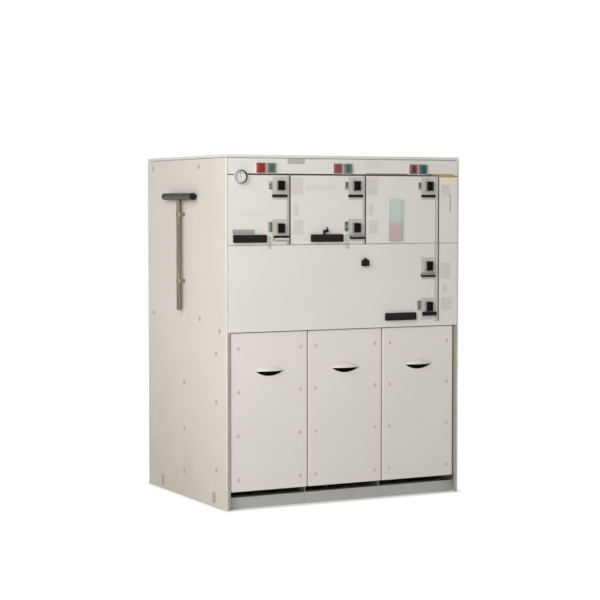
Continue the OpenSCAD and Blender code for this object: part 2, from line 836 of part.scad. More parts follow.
module fuse_window() {
    rim = 3;
    depth = 4;
    color("lightblue") translate([MODULE_X[2] - window_offset, front_y, window_z]) difference() {
        front_block(depth) rounded_rect(window_w, window_h, 3);
        translate([0, -depth + 1.5, 0]) front_block(depth)
            rounded_rect(window_w - 2 * rim, window_h - 2 * rim, 2);
    }
}

// The lock of the middle cover: a staple through the cover with a padlock's body under it
module cover_lock() {
    body_w = 28;
    body_h = 24;
    body_d = 15;
    shackle_w = 15;
    shackle_bar = 4;
    shackle_d = 6;
    staple_w = shackle_w - 2 * shackle_bar;
    color("black") translate([MODULE_X[1] + 80, front_y, middle_z1 - 73]) {
        front_block(body_d) rounded_rect(body_w, body_h, 3);
        translate([0, -(body_d - shackle_d) / 2, body_h / 2]) front_block(shackle_d) difference() {
            circle(d = shackle_w);
            circle(d = shackle_w - 2 * shackle_bar);
        }
        translate([0, 0, body_h / 2]) front_block(body_d - 2) square([staple_w, staple_w - 2], center = true);
    }
}

// ---- Push buttons ----

// A cap with softly curved front that runs through the fascia
module push_button(index, hand) {
    cap_y = front_y - bezel_out - button_out;
    depth = button_out + bezel_out + sheet_t + button_travel + 6;
    edge = 2;
    translate([button_x(index, hand), cap_y + depth, button_z]) {
        front_block(depth - edge / 2) rounded_rect(button_w, button_h, 1.5);
        front_block(depth) rounded_rect(button_w - edge, button_h - edge, 1.5);
    }
}

module off_button_1() color("firebrick") push_button(0, -1);
module off_button_2() color("firebrick") push_button(1, -1);
module off_button_3() color("sienna") push_button(2, -1);
module on_button_1() color("seagreen") push_button(0, 1);
module on_button_2() color("seagreen") push_button(1, 1);
module on_button_3() color("steelblue") push_button(2, 1);

// ---- Operating lever ----

// A T-shaped lever whose stem ends in a hexagonal socket for the shafts, with plugs in the ends of its crossbar
module operating_lever() {
    chamfer = 1.5;
    socket_depth = 24;
    nose_d = max(stem_d, shaft_flats / cos(30) + 4);
    color("dimgray") translate([lever_x, lever_y, lever_z]) {
        rotate([90, 0, 0]) {
            cylinder(d = crossbar_d, h = crossbar_l - 2 * bar_plug_l, center = true);
            cylinder(d = crossbar_d - 1, h = crossbar_l - 2 * chamfer, center = true);
            cylinder(d = crossbar_d - 1 - 2 * chamfer, h = crossbar_l, center = true);
        }
        difference() {
            union() {
                translate([0, 0, -stem_l]) cylinder(d = stem_d, h = stem_l);
                translate([0, 0, -stem_l]) cylinder(d = nose_d, h = socket_depth + 8);
            }
            translate([0, 0, -stem_l - 1]) cylinder(d = (shaft_flats + 0.6) / cos(30), h = socket_depth + 1, $fn = 6);
        }
    }
}

// Spring clips that hold the stem off the side panel
module lever_clips() {
    mouth = stem_d - 5;
    clip_d = stem_d + 2 * clip_t;
    color("silver") for (z = CLIP_Z) {
        translate([lever_x, lever_y, z - clip_h / 2]) linear_extrude(clip_h) {
            difference() {
                circle(d = clip_d);
                circle(d = stem_d);
                translate([-clip_d, -mouth / 2]) square([clip_d, mouth]);
            }
            translate([stem_d / 2 + clip_t / 2, -stem_d / 4])
                square([lever_standoff - stem_d / 2 - clip_t / 2, stem_d / 2]);
            translate([lever_standoff - clip_t, -stem_d]) square([clip_t, 2 * stem_d]);
        }
    }
}

base_beam_front();
base_beam_rear();
base_beam_left();
base_beam_right();
front_post_left();
front_post_right();
partition_left();
partition_right();
gas_tank();
gas_tank_lid();
side_panel_left();
side_panel_right();
rear_panel();
roof_panel();
fascia();
upper_cover();
middle_cover();
cable_cover_1();
cable_cover_2();
cable_cover_3();
control_plate_1();
control_plate_2();
control_plate_3_upper();
control_plate_3_lower();
drive_sockets_1();
drive_sockets_2();
drive_sockets_3();
drive_shafts();
padlock_slides();
position_indicators();
voltage_indicator_1();
voltage_indicator_2();
voltage_indicator_3();
test_plug();
pressure_gauge();
fuse_window();
cover_lock();
off_button_1();
off_button_2();
off_button_3();
on_button_1();
on_button_2();
on_button_3();
operating_lever();
lever_clips();
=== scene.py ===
"""Finishes, fitted details and studio for a three-way gas-insulated ring main unit.

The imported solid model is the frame: its nodes keep their shapes and get their finishes here.
The printed, glazed and fastened details are built round it, in metres, in the same frame.
"""
import json
import math

import bmesh
import bpy
from bpy.props import FloatProperty, FloatVectorProperty, IntProperty, PointerProperty
from mathutils import Euler, Matrix, Vector


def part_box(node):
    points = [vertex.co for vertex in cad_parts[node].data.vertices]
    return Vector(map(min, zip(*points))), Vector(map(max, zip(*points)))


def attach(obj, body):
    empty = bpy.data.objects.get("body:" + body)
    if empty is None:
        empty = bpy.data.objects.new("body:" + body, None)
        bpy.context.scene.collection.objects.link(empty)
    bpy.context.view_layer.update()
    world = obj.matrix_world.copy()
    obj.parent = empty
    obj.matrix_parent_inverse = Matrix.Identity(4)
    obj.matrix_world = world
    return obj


bl_info = {
    "name": "Ring Main Unit",
    "version": (1, 0, 0),
    "blender": (4, 5, 0),
    "location": "View3D > Sidebar > Ring Main Unit",
    "description": "Finishes, fitted details and a studio for a three-way ring main unit",
    "category": "Add Mesh",
}

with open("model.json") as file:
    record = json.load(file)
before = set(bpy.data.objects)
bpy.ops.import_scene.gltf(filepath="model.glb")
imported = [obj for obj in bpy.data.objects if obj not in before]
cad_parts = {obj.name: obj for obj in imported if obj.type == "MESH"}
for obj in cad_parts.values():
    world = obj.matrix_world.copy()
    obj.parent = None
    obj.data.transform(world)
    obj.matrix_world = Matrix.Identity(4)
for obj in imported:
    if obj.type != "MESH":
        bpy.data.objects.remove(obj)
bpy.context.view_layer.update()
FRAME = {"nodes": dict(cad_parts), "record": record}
MM = 0.001

# ---- Places taken from the solid model, in millimetres ----


def box_mm(node):
    """Lowest and highest corner of a solid node, in millimetres."""
    low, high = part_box(node)
    return low / MM, high / MM


def front_of(node):
    """Middle, width and height of a solid node as the front shows it, in millimetres."""
    low, high = box_mm(node)
    return (low.x + high.x) / 2, (low.z + high.z) / 2, high.x - low.x, high.z - low.z


def openings(start):
    """Middles in millimetres of the stated openings whose names have this start, by the rest of the name."""
    boxes = {item["name"]: item["box_m"] for item in FRAME["record"]["physics"]["openings"]}
    return {
        name[len(start) :]: (Vector(low) + Vector(high)) / (2 * MM)
        for name, (low, high) in boxes.items()
        if name.startswith(start)
    }


MODULE_X = [front_of(f"cable_cover_{number}")[0] for number in (1, 2, 3)]
FRONT_Y = box_mm("upper_cover")[0].y
PLATE_Y = box_mm("control_plate_1")[0].y
LEFT_X = box_mm("side_panel_left")[0].x
RIGHT_X = box_mm("side_panel_right")[1].x
REAR_Y = box_mm("rear_panel")[1].y
UPPER_Z0, UPPER_Z1 = (corner.z for corner in box_mm("upper_cover"))
MIDDLE_Z1 = box_mm("middle_cover")[1].z
FASCIA_Z0 = box_mm("fascia")[0].z
# the cable covers' faces stand behind the covers above them, and only their grips reach as far forward
COVER_Y = FRONT_Y + 7.0
SOCKETS = openings("lever_socket_")


# ---- Shapes ----


def facing(side, plane):
    """Placement with u to the viewer's right, v up and w towards a viewer on the given side of the unit."""
    rows = {
        "front": ((1, 0, 0, 0), (0, 0, -1, plane), (0, 1, 0, 0)),
        "rear": ((-1, 0, 0, 0), (0, 0, 1, plane), (0, 1, 0, 0)),
        "left": ((0, 0, -1, plane), (-1, 0, 0, 0), (0, 1, 0, 0)),
        "right": ((0, 0, 1, plane), (1, 0, 0, 0), (0, 1, 0, 0)),
        "foot": ((1, 0, 0, 0), (0, -1, 0, 0), (0, 0, -1, plane)),
    }[side]
    return Matrix.Scale(MM, 4) @ Matrix((*rows, (0, 0, 0, 1)))


def polar(u, v, reach, angle):
    """The point at a distance and an angle from another."""
    return u + reach * math.cos(angle), v + reach * math.sin(angle)


def round_rect(u, v, width, height, radius, steps=4):
    """Outline of a rectangle with round corners, anticlockwise."""
    least = 0.01
    radius = max(min(radius, width / 2 - least, height / 2 - least), least)
    points = []
    for corner, (su, sv) in enumerate(((1, 1), (-1, 1), (-1, -1), (1, -1))):
        middle = (u + su * (width / 2 - radius), v + sv * (height / 2 - radius))
        for step in range(steps + 1):
            points.append(polar(*middle, radius, math.pi / 2 * (corner + step / steps)))
    return points


def disc(u, v, radius, steps=32):
    """Outline of a circle, anticlockwise."""
    return [polar(u, v, radius, math.tau * step / steps) for step in range(steps)]


def hexagon(u, v, flats, steps=24):
    """Outline of a hexagon with as many points as a disc has."""
    points = []
    for step in range(steps):
        angle = math.tau * step / steps
        points.append(polar(u, v, flats / 2 / math.cos((angle % (math.pi / 3)) - math.pi / 6), angle))
    return points


def loft(bm, place, rings, closed=False, material=0):
    """Skin a stack of outlines, each given as (points, w), and cap its ends unless it closes on itself."""
    rows = [[bm.verts.new(place @ Vector((u, v, w))) for u, v in points] for points, w in rings]
    pairs = list(zip(rows, rows[1:]))
    if closed:
        pairs.append((rows[-1], rows[0]))
    faces = []
    count = len(rows[0])
    for low, high in pairs:
        for i in range(count):
            j = (i + 1) % count
            faces.append(bm.faces.new((low[i], low[j], high[j], high[i])))
    if not closed:
        faces.append(bm.faces.new(rows[0][::-1]))
        faces.append(bm.faces.new(rows[-1]))
    for face in faces:
        face.material_index = material


def pad(bm, place, u, v, width, height, radius, foot, top, edge=0.3, material=0):
    """A flat block with round corners and a chamfer round its face."""
    outer = round_rect(u, v, width, height, radius)
    inner = round_rect(u, v, width - 2 * edge, height - 2 * edge, radius - edge)
    loft(bm, place, [(outer, foot), (outer, top - edge), (inner, top)], material=material)


def bezel(bm, place, u, v, width, height, radius, rim, foot, top, edge=0.4, material=0):
    """A frame round an opening, chamfered on both sides of its face."""
    outer = round_rect(u, v, width, height, radius)
    inner = round_rect(u, v, width - 2 * rim, height - 2 * rim, radius - rim)
    rings = [
        (outer, foot),
        (outer, top - edge),
        (round_rect(u, v, width - 2 * edge, height - 2 * edge, radius - edge), top),
        (round_rect(u, v, width - 2 * (rim - edge), height - 2 * (rim - edge), radius - rim + edge), top),
        (inner, top - edge),
        (inner, foot),
    ]
    loft(bm, place, rings, closed=True, material=material)


def turned(bm, place, u, v, profile, closed=False, steps=48, material=0):
    """A turned piece from (radius, w) pairs."""
    loft(bm, place, [(disc(u, v, radius, steps), w) for radius, w in profile], closed, material)


def button_screw(bm, place, u, v, diameter, washer, rise, socket, foot=0.0, material=0):
    """A low button head with a hexagon socket, on a flat washer."""
    head = diameter / 2
    rings = [
        (disc(u, v, washer / 2, 24), foot),
        (disc(u, v, washer / 2, 24), foot + rise * 0.22),
        (disc(u, v, washer / 2 - 0.3, 24), foot + rise * 0.3),
        (disc(u, v, head, 24), foot + rise * 0.3),
        (disc(u, v, head * 0.98, 24), foot + rise * 0.6),
        (disc(u, v, head * 0.84, 24), foot + rise * 0.88),
        (disc(u, v, head * 0.64, 24), foot + rise),
        (hexagon(u, v, socket), foot + rise),
        (hexagon(u, v, socket * 0.94), foot + rise * 0.35),
    ]
    loft(bm, place, rings, material=material)


def bar(bm, place, start, end, width, foot, top, material=0):
    """A straight strip between two points, with square ends."""
    (u0, v0), (u1, v1) = start, end
    length = math.hypot(u1 - u0, v1 - v0)
    along = ((u1 - u0) / length, (v1 - v0) / length)
    across = (along[1] * width / 2, -along[0] * width / 2)
    points = [
        (u0 - across[0], v0 - across[1]),
        (u0 + across[0], v0 + across[1]),
        (u1 + across[0], v1 + across[1]),
        (u1 - across[0], v1 - across[1]),
    ]
    loft(bm, place, [(points, foot), (points, top)], material=material)


def arc_strip(bm, place, u, v, inner, outer, start, end, foot, top, steps=16, material=0):
    """A flat sector of a ring, between two angles in degrees."""
    angles = [math.radians(start + (end - start) * step / steps) for step in range(steps + 1)]
    points = [polar(u, v, outer, angle) for angle in angles]
    points += [polar(u, v, inner, angle) for angle in reversed(angles)]
    loft(bm, place, [(points, foot), (points, top)], material=material)


def piece(name, bm, materials, body="cabinet"):
    """Make an object of a mesh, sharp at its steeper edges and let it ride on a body."""
    bmesh.ops.recalc_face_normals(bm, faces=bm.faces)
    mesh = bpy.data.meshes.new(name)
    bm.to_mesh(mesh)
    bm.free()
    for material in materials:
        mesh.materials.append(material)
    mesh.shade_smooth()
    mesh.set_sharp_from_angle(angle=math.radians(32))
    made = bpy.data.objects.new(name, mesh)
    bpy.context.scene.collection.objects.link(made)
    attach(made, body)
    return made


# ---- Materials ----


def linear(code):
    """Linear RGBA of an sRGB hex colour."""
    channels = [int(code[i : i + 2], 16) / 255 for i in (1, 3, 5)]
    return (*[c / 12.92 if c <= 0.04045 else ((c + 0.055) / 1.055) ** 2.4 for c in channels], 1.0)


def shade(colour, factor):
    """A colour made lighter or darker."""
    return (*[min(1.0, channel * factor) for channel in colour[:3]], 1.0)


def per_mm(size):
    """Scale of a pattern whose features have a real size in millimetres."""
    return 1 / (size * MM)


def add(tree, kind, inputs=None, **settings):
    """Add a shader node with its settings, and fill or link its inputs.

    An input is named, or numbered where names repeat. A node given as a value is linked by its first live
    output.
    """
    made = tree.nodes.new(f"ShaderNode{kind}")
    for name, value in settings.items():
        setattr(made, name, value)
    live = [socket for socket in made.inputs if socket.enabled]
    for key, value in (inputs or {}).items():
        socket = live[key] if isinstance(key, int) else next(s for s in live if s.name == key)
        if isinstance(value, bpy.types.Node):
            value = next(output for output in value.outputs if output.enabled)
        if isinstance(value, bpy.types.NodeSocket):
            tree.links.new(value, socket)
        else:
            socket.default_value = value
    return made


def new_material(name):
    """A material with an empty node tree, and the place on the object that its patterns follow."""
    made = bpy.data.materials.new(name)
    made.use_nodes = True
    made.node_tree.nodes.clear()
    return made, made.node_tree, add(made.node_tree, "TexCoord").outputs["Object"]


def patches(tree, place, size, detail, low=0.0, high=1.0, start=0.3, end=0.7):
    """Soft patches with a size in millimetres, which drift from one value to the other."""
    noise = add(tree, "TexNoise", {"Vector": place, "Scale": per_mm(size), "Detail": detail})
    ends = {"From Min": start, "From Max": end, "To Min": low, "To Max": high}
    return add(tree, "MapRange", {"Value": noise, **ends})


def grained(tree, place, size, detail, strength, depth):
    """A grain with a size in millimetres, and its relief with a depth in millimetres."""
    grain = add(tree, "TexNoise", {"Vector": place, "Scale": per_mm(size), "Detail": detail})
    return grain, add(tree, "Bump", {"Height": grain, "Strength": strength, "Distance": depth * MM})


def surfaced(material, shader):
    """A material with the given shader as its surface."""
    add(material.node_tree, "OutputMaterial", {"Surface": shader})
    return material


def powder_coat(name, colour, dust, gloss, lean=0.0, soil=0.5):
    """Polyester powder coat baked onto steel sheet: satin, with a soft orange peel and no brush marks.

    The eye sees an even colour that drifts very slightly, gloss that varies in patches where it has been
    wiped, and a little dull, yellowish dust towards the floor. With lean, the mix towards the dust's colour
    reaches higher towards the rear and darkens the lower rear, and soil is the share of it where it is
    thickest.
    """
    material, tree, place = new_material(name)
    drift = patches(tree, place, 420, 2.0)
    base = add(tree, "Mix", {"Factor": drift, "A": colour, "B": shade(colour, 0.965)}, data_type="RGBA")
    # dust thins out from the floor to 0.6 m up, in patches the size of a hand
    height = add(tree, "VectorMath", {0: place, 1: (0.0, -lean, 1.0)}, operation="DOT_PRODUCT")
    height = height.outputs["Value"]
    low = add(tree, "MapRange", {"Value": height, "From Min": 0.62, "From Max": -0.05})
    patch = patches(tree, place, 90, 4.0, soil * 0.75, soil, 0.35, 0.75)
    share = add(tree, "Math", {0: low, 1: patch}, operation="MULTIPLY")
    base = add(tree, "Mix", {"Factor": share, "A": base, "B": dust}, data_type="RGBA")
    # the real peel is about 1 mm across and too fine to show, so it is drawn at 3 mm
    relief = grained(tree, place, 3, 1.0, 0.12, 0.12)[1]
    wiped = patches(tree, place, 35, 3.0, gloss - 0.05, gloss + 0.07)
    look = {"Base Color": base, "Roughness": wiped, "IOR": 1.5, "Normal": relief}
    return surfaced(material, add(tree, "BsdfPrincipled", look))


def zinc_coat(name, colour, metal=0.4):
    """Hot-dip zinc on sheet steel: weathered crystals, each with its own grey and gloss, dull overall."""
    material, tree, place = new_material(name)
    crystals = add(tree, "TexVoronoi", {"Vector": place, "Scale": per_mm(11)})
    grey = add(tree, "SeparateColor", {"Color": crystals.outputs["Color"]})
    dark, bright = shade(colour, 0.88), shade(colour, 1.06)
    base = add(tree, "Mix", {"Factor": grey, "A": dark, "B": bright}, data_type="RGBA")
    gloss = add(tree, "MapRange", {"Value": grey, "To Min": 0.45, "To Max": 0.62})
    relief = grained(tree, place, 4, 2.0, 0.1, 0.1)[1]
    look = {"Base Color": base, "Metallic": metal, "Roughness": gloss, "Normal": relief}
    return surfaced(material, add(tree, "BsdfPrincipled", look))


def rolled_steel(name, colour, grain, gloss):
    """Rolled or ground steel, a soft bright metal: fine straight lines along X stretch its highlights."""
    material, tree, place = new_material(name)
    # the real grain is a few hundredths of a millimetre, so it is drawn as coarse as it needs to show
    along = add(tree, "Mapping", {"Vector": place, "Scale": (1 / 60, 1.0, 1.0)})
    lines, relief = grained(tree, along, grain, 3.0, 0.15, 0.05)
    share = add(tree, "MapRange", {"Value": lines, "From Min": 0.3, "From Max": 0.7})
    base = add(tree, "Mix", {"Factor": share, "A": shade(colour, 0.88), "B": colour}, data_type="RGBA")
    rough = add(tree, "MapRange", {"Value": share, "To Min": gloss - 0.06, "To Max": gloss + 0.1})
    look = {"Base Color": base, "Metallic": 1.0, "Roughness": rough, "Normal": relief}
    return surfaced(material, add(tree, "BsdfPrincipled", look))


def phosphated_tube(name, colour, worn, grip, box):
    """Drawn steel tube with a dull brown-grey phosphate coat, rubbed brighter in streaks where it is held.

    Its crossbar, along Y at the top of the given box, is painted darker and ends in the black of its plugs.
    """
    material, tree, place = new_material(name)
    crossbar_d, plug = 29.0, 2.5
    low, high = box
    along = add(tree, "Mapping", {"Vector": place, "Scale": (1.0, 1.0, 0.12)})
    streaks = {"Vector": along, "Scale": per_mm(9), "Detail": 4.0, "Roughness": 0.65}
    rub = add(tree, "TexNoise", streaks)
    rub = add(tree, "MapRange", {"Value": rub, "From Min": 0.42, "From Max": 0.72})
    base = add(tree, "Mix", {"Factor": rub, "A": colour, "B": worn}, data_type="RGBA")
    # a worn coat of dark paint covers the crossbar
    axes = add(tree, "SeparateXYZ", {"Vector": place}).outputs
    crossbar = add(tree, "Math", {0: axes["Z"], 1: (high.z - crossbar_d) * MM}, operation="GREATER_THAN")
    dark, pale = shade(colour, 0.5), shade(worn, 0.5)
    paint = add(tree, "Mix", {"Factor": rub, "A": dark, "B": pale}, data_type="RGBA")
    base = add(tree, "Mix", {"Factor": crossbar, "A": base, "B": paint}, data_type="RGBA")
    # the plugs show as black ends
    off = add(tree, "Math", {0: axes["Y"], 1: (low.y + high.y) / 2 * MM}, operation="SUBTRACT")
    off = add(tree, "Math", {0: off}, operation="ABSOLUTE")
    bare = ((high.y - low.y) / 2 - plug) * MM
    end = add(tree, "Math", {0: off, 1: bare}, operation="GREATER_THAN")
    base = add(tree, "Mix", {"Factor": end, "A": base, "B": grip}, data_type="RGBA")
    metal = add(tree, "MapRange", {"Value": end, "To Min": 0.35, "To Max": 0.0})
    rough = add(tree, "MapRange", {"Value": rub, "To Min": 0.58, "To Max": 0.4})
    relief = grained(tree, place, 1.6, 2.0, 0.15, 0.08)[1]
    look = {"Base Color": base, "Metallic": metal, "Roughness": rough, "Specular IOR Level": 0.3}
    return surfaced(material, add(tree, "BsdfPrincipled", {**look, "Normal": relief}))


def moulded_plastic(name, colour, gloss=0.42, relief=0.2, shine=0.5):
    """Injection-moulded plastic: satin from the spark-eroded grain of its mould, uneven in gloss and tone.

    A deep grain traps some of the gloss, so that its shine is lower.
    """
    material, tree, place = new_material(name)
    tone = patches(tree, place, 14, 2.0)
    base = add(tree, "Mix", {"Factor": tone, "A": colour, "B": shade(colour, 0.88)}, data_type="RGBA")
    rough = patches(tree, place, 6, 3.0, gloss - 0.05, gloss + 0.08)
    # the real grain is about 0.1 mm, so it is drawn at 0.9 mm
    normal = grained(tree, place, 0.9, 1.0, relief, 0.06)[1]
    look = {"Base Color": base, "Roughness": rough, "IOR": 1.52, "Specular IOR Level": shine}
    return surfaced(material, add(tree, "BsdfPrincipled", {**look, "Normal": normal}))


def nylon_lit_from_left(name, front, sleeve):
    """Glass-filled nylon, matt black, with a painted highlight in grey on the sides that face the left.

    The grey, passed in as its sleeve, stands in for the light of the lamps on the left, and shows only
    there.
    """
    material, tree, place = new_material(name)
    # painted highlight: the sides whose normal faces the left lamps take the grey
    side = add(tree, "SeparateXYZ", {"Vector": place.node.outputs["Normal"]}).outputs["X"]
    side = add(tree, "Math", {0: side, 1: -0.7}, operation="LESS_THAN")
    base = add(tree, "Mix", {"Factor": side, "A": front, "B": sleeve}, data_type="RGBA")
    grain, normal = grained(tree, place, 0.9, 1.0, 0.2, 0.06)
    rough = add(tree, "MapRange", {"Value": grain, "To Min": 0.45, "To Max": 0.6})
    look = {"Base Color": base, "Roughness": rough, "IOR": 1.52, "Specular IOR Level": 0.25}
    return surfaced(material, add(tree, "BsdfPrincipled", {**look, "Normal": normal}))


def printed_foil(name, colour, gloss=0.5):
    """Screen-printed polycarbonate foil or plate: matt, with an even ink and the faint grain of its face."""
    material, tree, place = new_material(name)
    ink = patches(tree, place, 26, 3.0)
    base = add(tree, "Mix", {"Factor": ink, "A": colour, "B": shade(colour, 0.95)}, data_type="RGBA")
    rough = patches(tree, place, 12, 2.0, gloss - 0.04, gloss + 0.06)
    normal = grained(tree, place, 1.2, 1.0, 0.12, 0.04)[1]
    look = {"Base Color": base, "Roughness": rough, "IOR": 1.58, "Normal": normal}
    return surfaced(material, add(tree, "BsdfPrincipled", look))


def faded_print(name, fields, box):
    """Film printed with fields of colour that have faded into each other, from the foot of a box to its top.

    The eye sees soft steps from one pale field to the next, and the even matt of the film.
    """
    material, tree, place = new_material(name)
    height = add(tree, "SeparateXYZ", {"Vector": place}).outputs["Z"]
    ends = {"From Min": box[0].z * MM, "From Max": box[1].z * MM}
    height = add(tree, "MapRange", {"Value": height, **ends})
    ramp = add(tree, "ValToRGB", {"Fac": height})
    stops = ramp.color_ramp.elements
    stops.remove(stops[1])
    for share, colour in fields:
        stops.new(share).color = colour
    stops.remove(stops[0])
    grain, normal = grained(tree, place, 1.2, 1.0, 0.12, 0.04)
    rough = add(tree, "MapRange", {"Value": grain, "To Min": 0.42, "To Max": 0.55})
    look = {"Base Color": ramp.outputs["Color"], "Roughness": rough, "IOR": 1.58, "Normal": normal}
    return surfaced(material, add(tree, "BsdfPrincipled", look))


def clear_sheet(name, tint):
    """Clear acrylic or gauge glass, polished: what lies behind shows through a faint haze of fine scratches.

    A pane is so thin that it bends no light, so most of the view goes straight through by alpha, and the
    rest of it is glass that gives the gloss.
    """
    material, tree, place = new_material(name)
    haze = patches(tree, place, 18, 4.0, 0.02, 0.1, 0.4, 0.8)
    look = {"Base Color": tint, "Transmission Weight": 1.0, "Alpha": 0.2, "Roughness": haze, "IOR": 1.49}
    return surfaced(material, add(tree, "BsdfPrincipled", look))


# ---- Sizes and colours that a user may change ----


def colour_of(name, code, description):
    """A colour property with its default as an sRGB hex value."""
    return FloatVectorProperty(
        name=name, description=description, subtype="COLOR", size=4, min=0.0, max=1.0, default=linear(code)
    )


def length_of(name, default, description):
    """A length property with its default in millimetres."""
    return FloatProperty(
        name=name, description=description, default=default * MM, min=0.05 * MM, precision=5, unit="LENGTH"
    )


class RMU_PG_colours(bpy.types.PropertyGroup):
    """Colours of the finishes."""

    cover: colour_of("Front covers", "#E0DDD6", "Powder coat of the fixed front covers and the roof")
    panel: colour_of("Panels", "#DCD6CC", "Powder coat of the side panels and the rear panel")
    door: colour_of("Cable covers", "#E2DCD6", "Powder coat of the cable covers")
    dust: colour_of("Dust", "#A9A08B", "Dust that dulls the paint near the floor")
    beam: colour_of("Base beams", "#B9BFC1", "Coat of the front and rear base beams")
    beam_side: colour_of("Side base beams", "#A5A196", "Coat of the side base beams")
    zinc: colour_of("Zinc", "#AFAA9F", "Zinc coat of the posts and partitions")
    stainless: colour_of("Stainless plate", "#BDBDB9", "Rolled plate of the gas tank")
    cover_screw: colour_of("Cover screws", "#CDC7BF", "Painted screws and washers of the cable covers")
    clip: colour_of("Lever clips", "#958D7D", "Phosphated clips that hold the lever")
    screw: colour_of("Screws", "#B8B1A7", "Zinc plate of the screws and washers")
    foil: colour_of("Control foil", "#C8C5BC", "Printed foil of the control plates")
    band: colour_of("Band", "#B5B1A9", "Darker band printed along a control plate")
    band_pale: colour_of("Pale band", "#C4C0B9", "Band where it is less worn")
    line: colour_of("Mimic line", "#15120F", "Ink of the mimic diagram")
    # painted shade along the seam under the fascia, over the fused module, drawn as a paler wide line
    bus: colour_of("Seam shade, grey", "#6E655D", "Paler ink of the busbar line over the fused module")
    cup: colour_of("Shaft cup", "#8F8C85", "Grey sleeves of the cups round the shafts")
    black: colour_of("Black plastic", "#0D0C0B", "Moulded black plastic")
    frame: colour_of("Window frame", "#A9AAA3", "Frames of the position indicators")
    case: colour_of("Instrument case", "#0B0A09", "Cases of the voltage indicators")
    key: colour_of("Keys", "#1D1B19", "Keys and windows of the voltage indicators")
    shaft: colour_of("Shaft steel", "#2B2A28", "Ends of the shafts")
    red: colour_of("Red cap", "#A5443A", "Caps of the off buttons")
    red_dull: colour_of("Red cap, faded", "#96605F", "Cap of the second module's off button")
    green: colour_of("Green cap", "#7B8A82", "Caps of the on buttons")
    brown: colour_of("Brown cap", "#9A7266", "Cap of the fused module's off button")
    blue: colour_of("Blue cap", "#5C7680", "Cap of the fused module's on button")
    # painted shade of the buttons' dished middles, drawn as darker squares on the caps
    red_dull_inlay: colour_of("Red inlay, faded", "#7A4043", "Darker middle of the second module's red cap")
    red_inlay: colour_of("Red inlay", "#85241F", "Darker middle of the red caps")
    green_inlay: colour_of("Green inlay", "#4C564C", "Darker middle of the green caps")
    brown_inlay: colour_of("Brown inlay", "#4E2F28", "Darker middle of the brown cap")
    blue_inlay: colour_of("Blue inlay", "#2C454D", "Darker middle of the blue cap")
    gauge: colour_of("Gauge case", "#C8CAC4", "Case of the pressure gauge")
    dial: colour_of("Dial", "#E4E5E3", "Face of the pressure gauge")
    label: colour_of("Label plate", "#D6CFC8", "Bare label plates")
    faint: colour_of("Label plate, pale", "#DAD6CF", "Bare label plates that nearly match the cover")
    tag: colour_of("Tag", "#A29F95", "Bare grey tags")
    yellow: colour_of("Yellow plate", "#EEE1C5", "Bare yellow plate at the upper right")
    # painted shade along the seam under the fascia, beside and over the yellow plate, in ochre
    ochre: colour_of("Seam shade, ochre", "#B09B6A", "Darker strip along the yellow plate")
    flag: colour_of("Flag, pale green", "#96A69E", "Pale green fields of the position flags")
    flag_mid: colour_of("Flag, green", "#678C7E", "Green fields of the position flags")
    flag_dark: colour_of("Flag, dark green", "#33524A", "Dark green fields of the position flags")
    flag_grey: colour_of("Flag, grey", "#AAAAA0", "Pale grey fields of the position flags")
    flag_slate: colour_of("Flag, slate", "#5C605C", "Dark grey fields of the position flags")
    flag_clay: colour_of("Flag, clay", "#827D6E", "Brown-grey fields of the position flags")
    fuse_top: colour_of("Fuse field, upper", "#C3CCC7", "Upper field of the fuse status window")
    fuse_mid: colour_of("Fuse field, middle", "#BFC0BB", "Middle field of the fuse status window")
    fuse_red: colour_of("Fuse field, tripped", "#CBA8A5", "Faded red field of the fuse status window")
    fuse_low: colour_of("Fuse field, lower", "#BEAEA8", "Lower field of the fuse status window")
    lever: colour_of("Lever tube", "#6F6758", "Phosphated tube of the lever")
    lever_worn: colour_of("Lever tube, rubbed", "#948B79", "Tube where it is rubbed bright")


class RMU_PG_sizes(bpy.types.PropertyGroup):
    """Sizes of the printed and fitted details."""

    line_w: length_of("Mimic line", 5.0, "Width of the lines of the mimic diagram")
    ink_t: length_of("Ink", 0.25, "Thickness of a printed or stuck-on layer")
    label_t: length_of("Label", 0.6, "Thickness of a label plate")
    screw_d: length_of("Screw head", 11.0, "Diameter of the screw heads")
    washer_d: length_of("Washer", 16.0, "Diameter of a cable cover's washers")
    pane_t: length_of("Pane", 0.5, "Thickness of the clear panes")
    ticks: IntProperty(
        name="Dial ticks", description="Number of ticks on the gauge's dial", default=25, min=5, max=60
    )


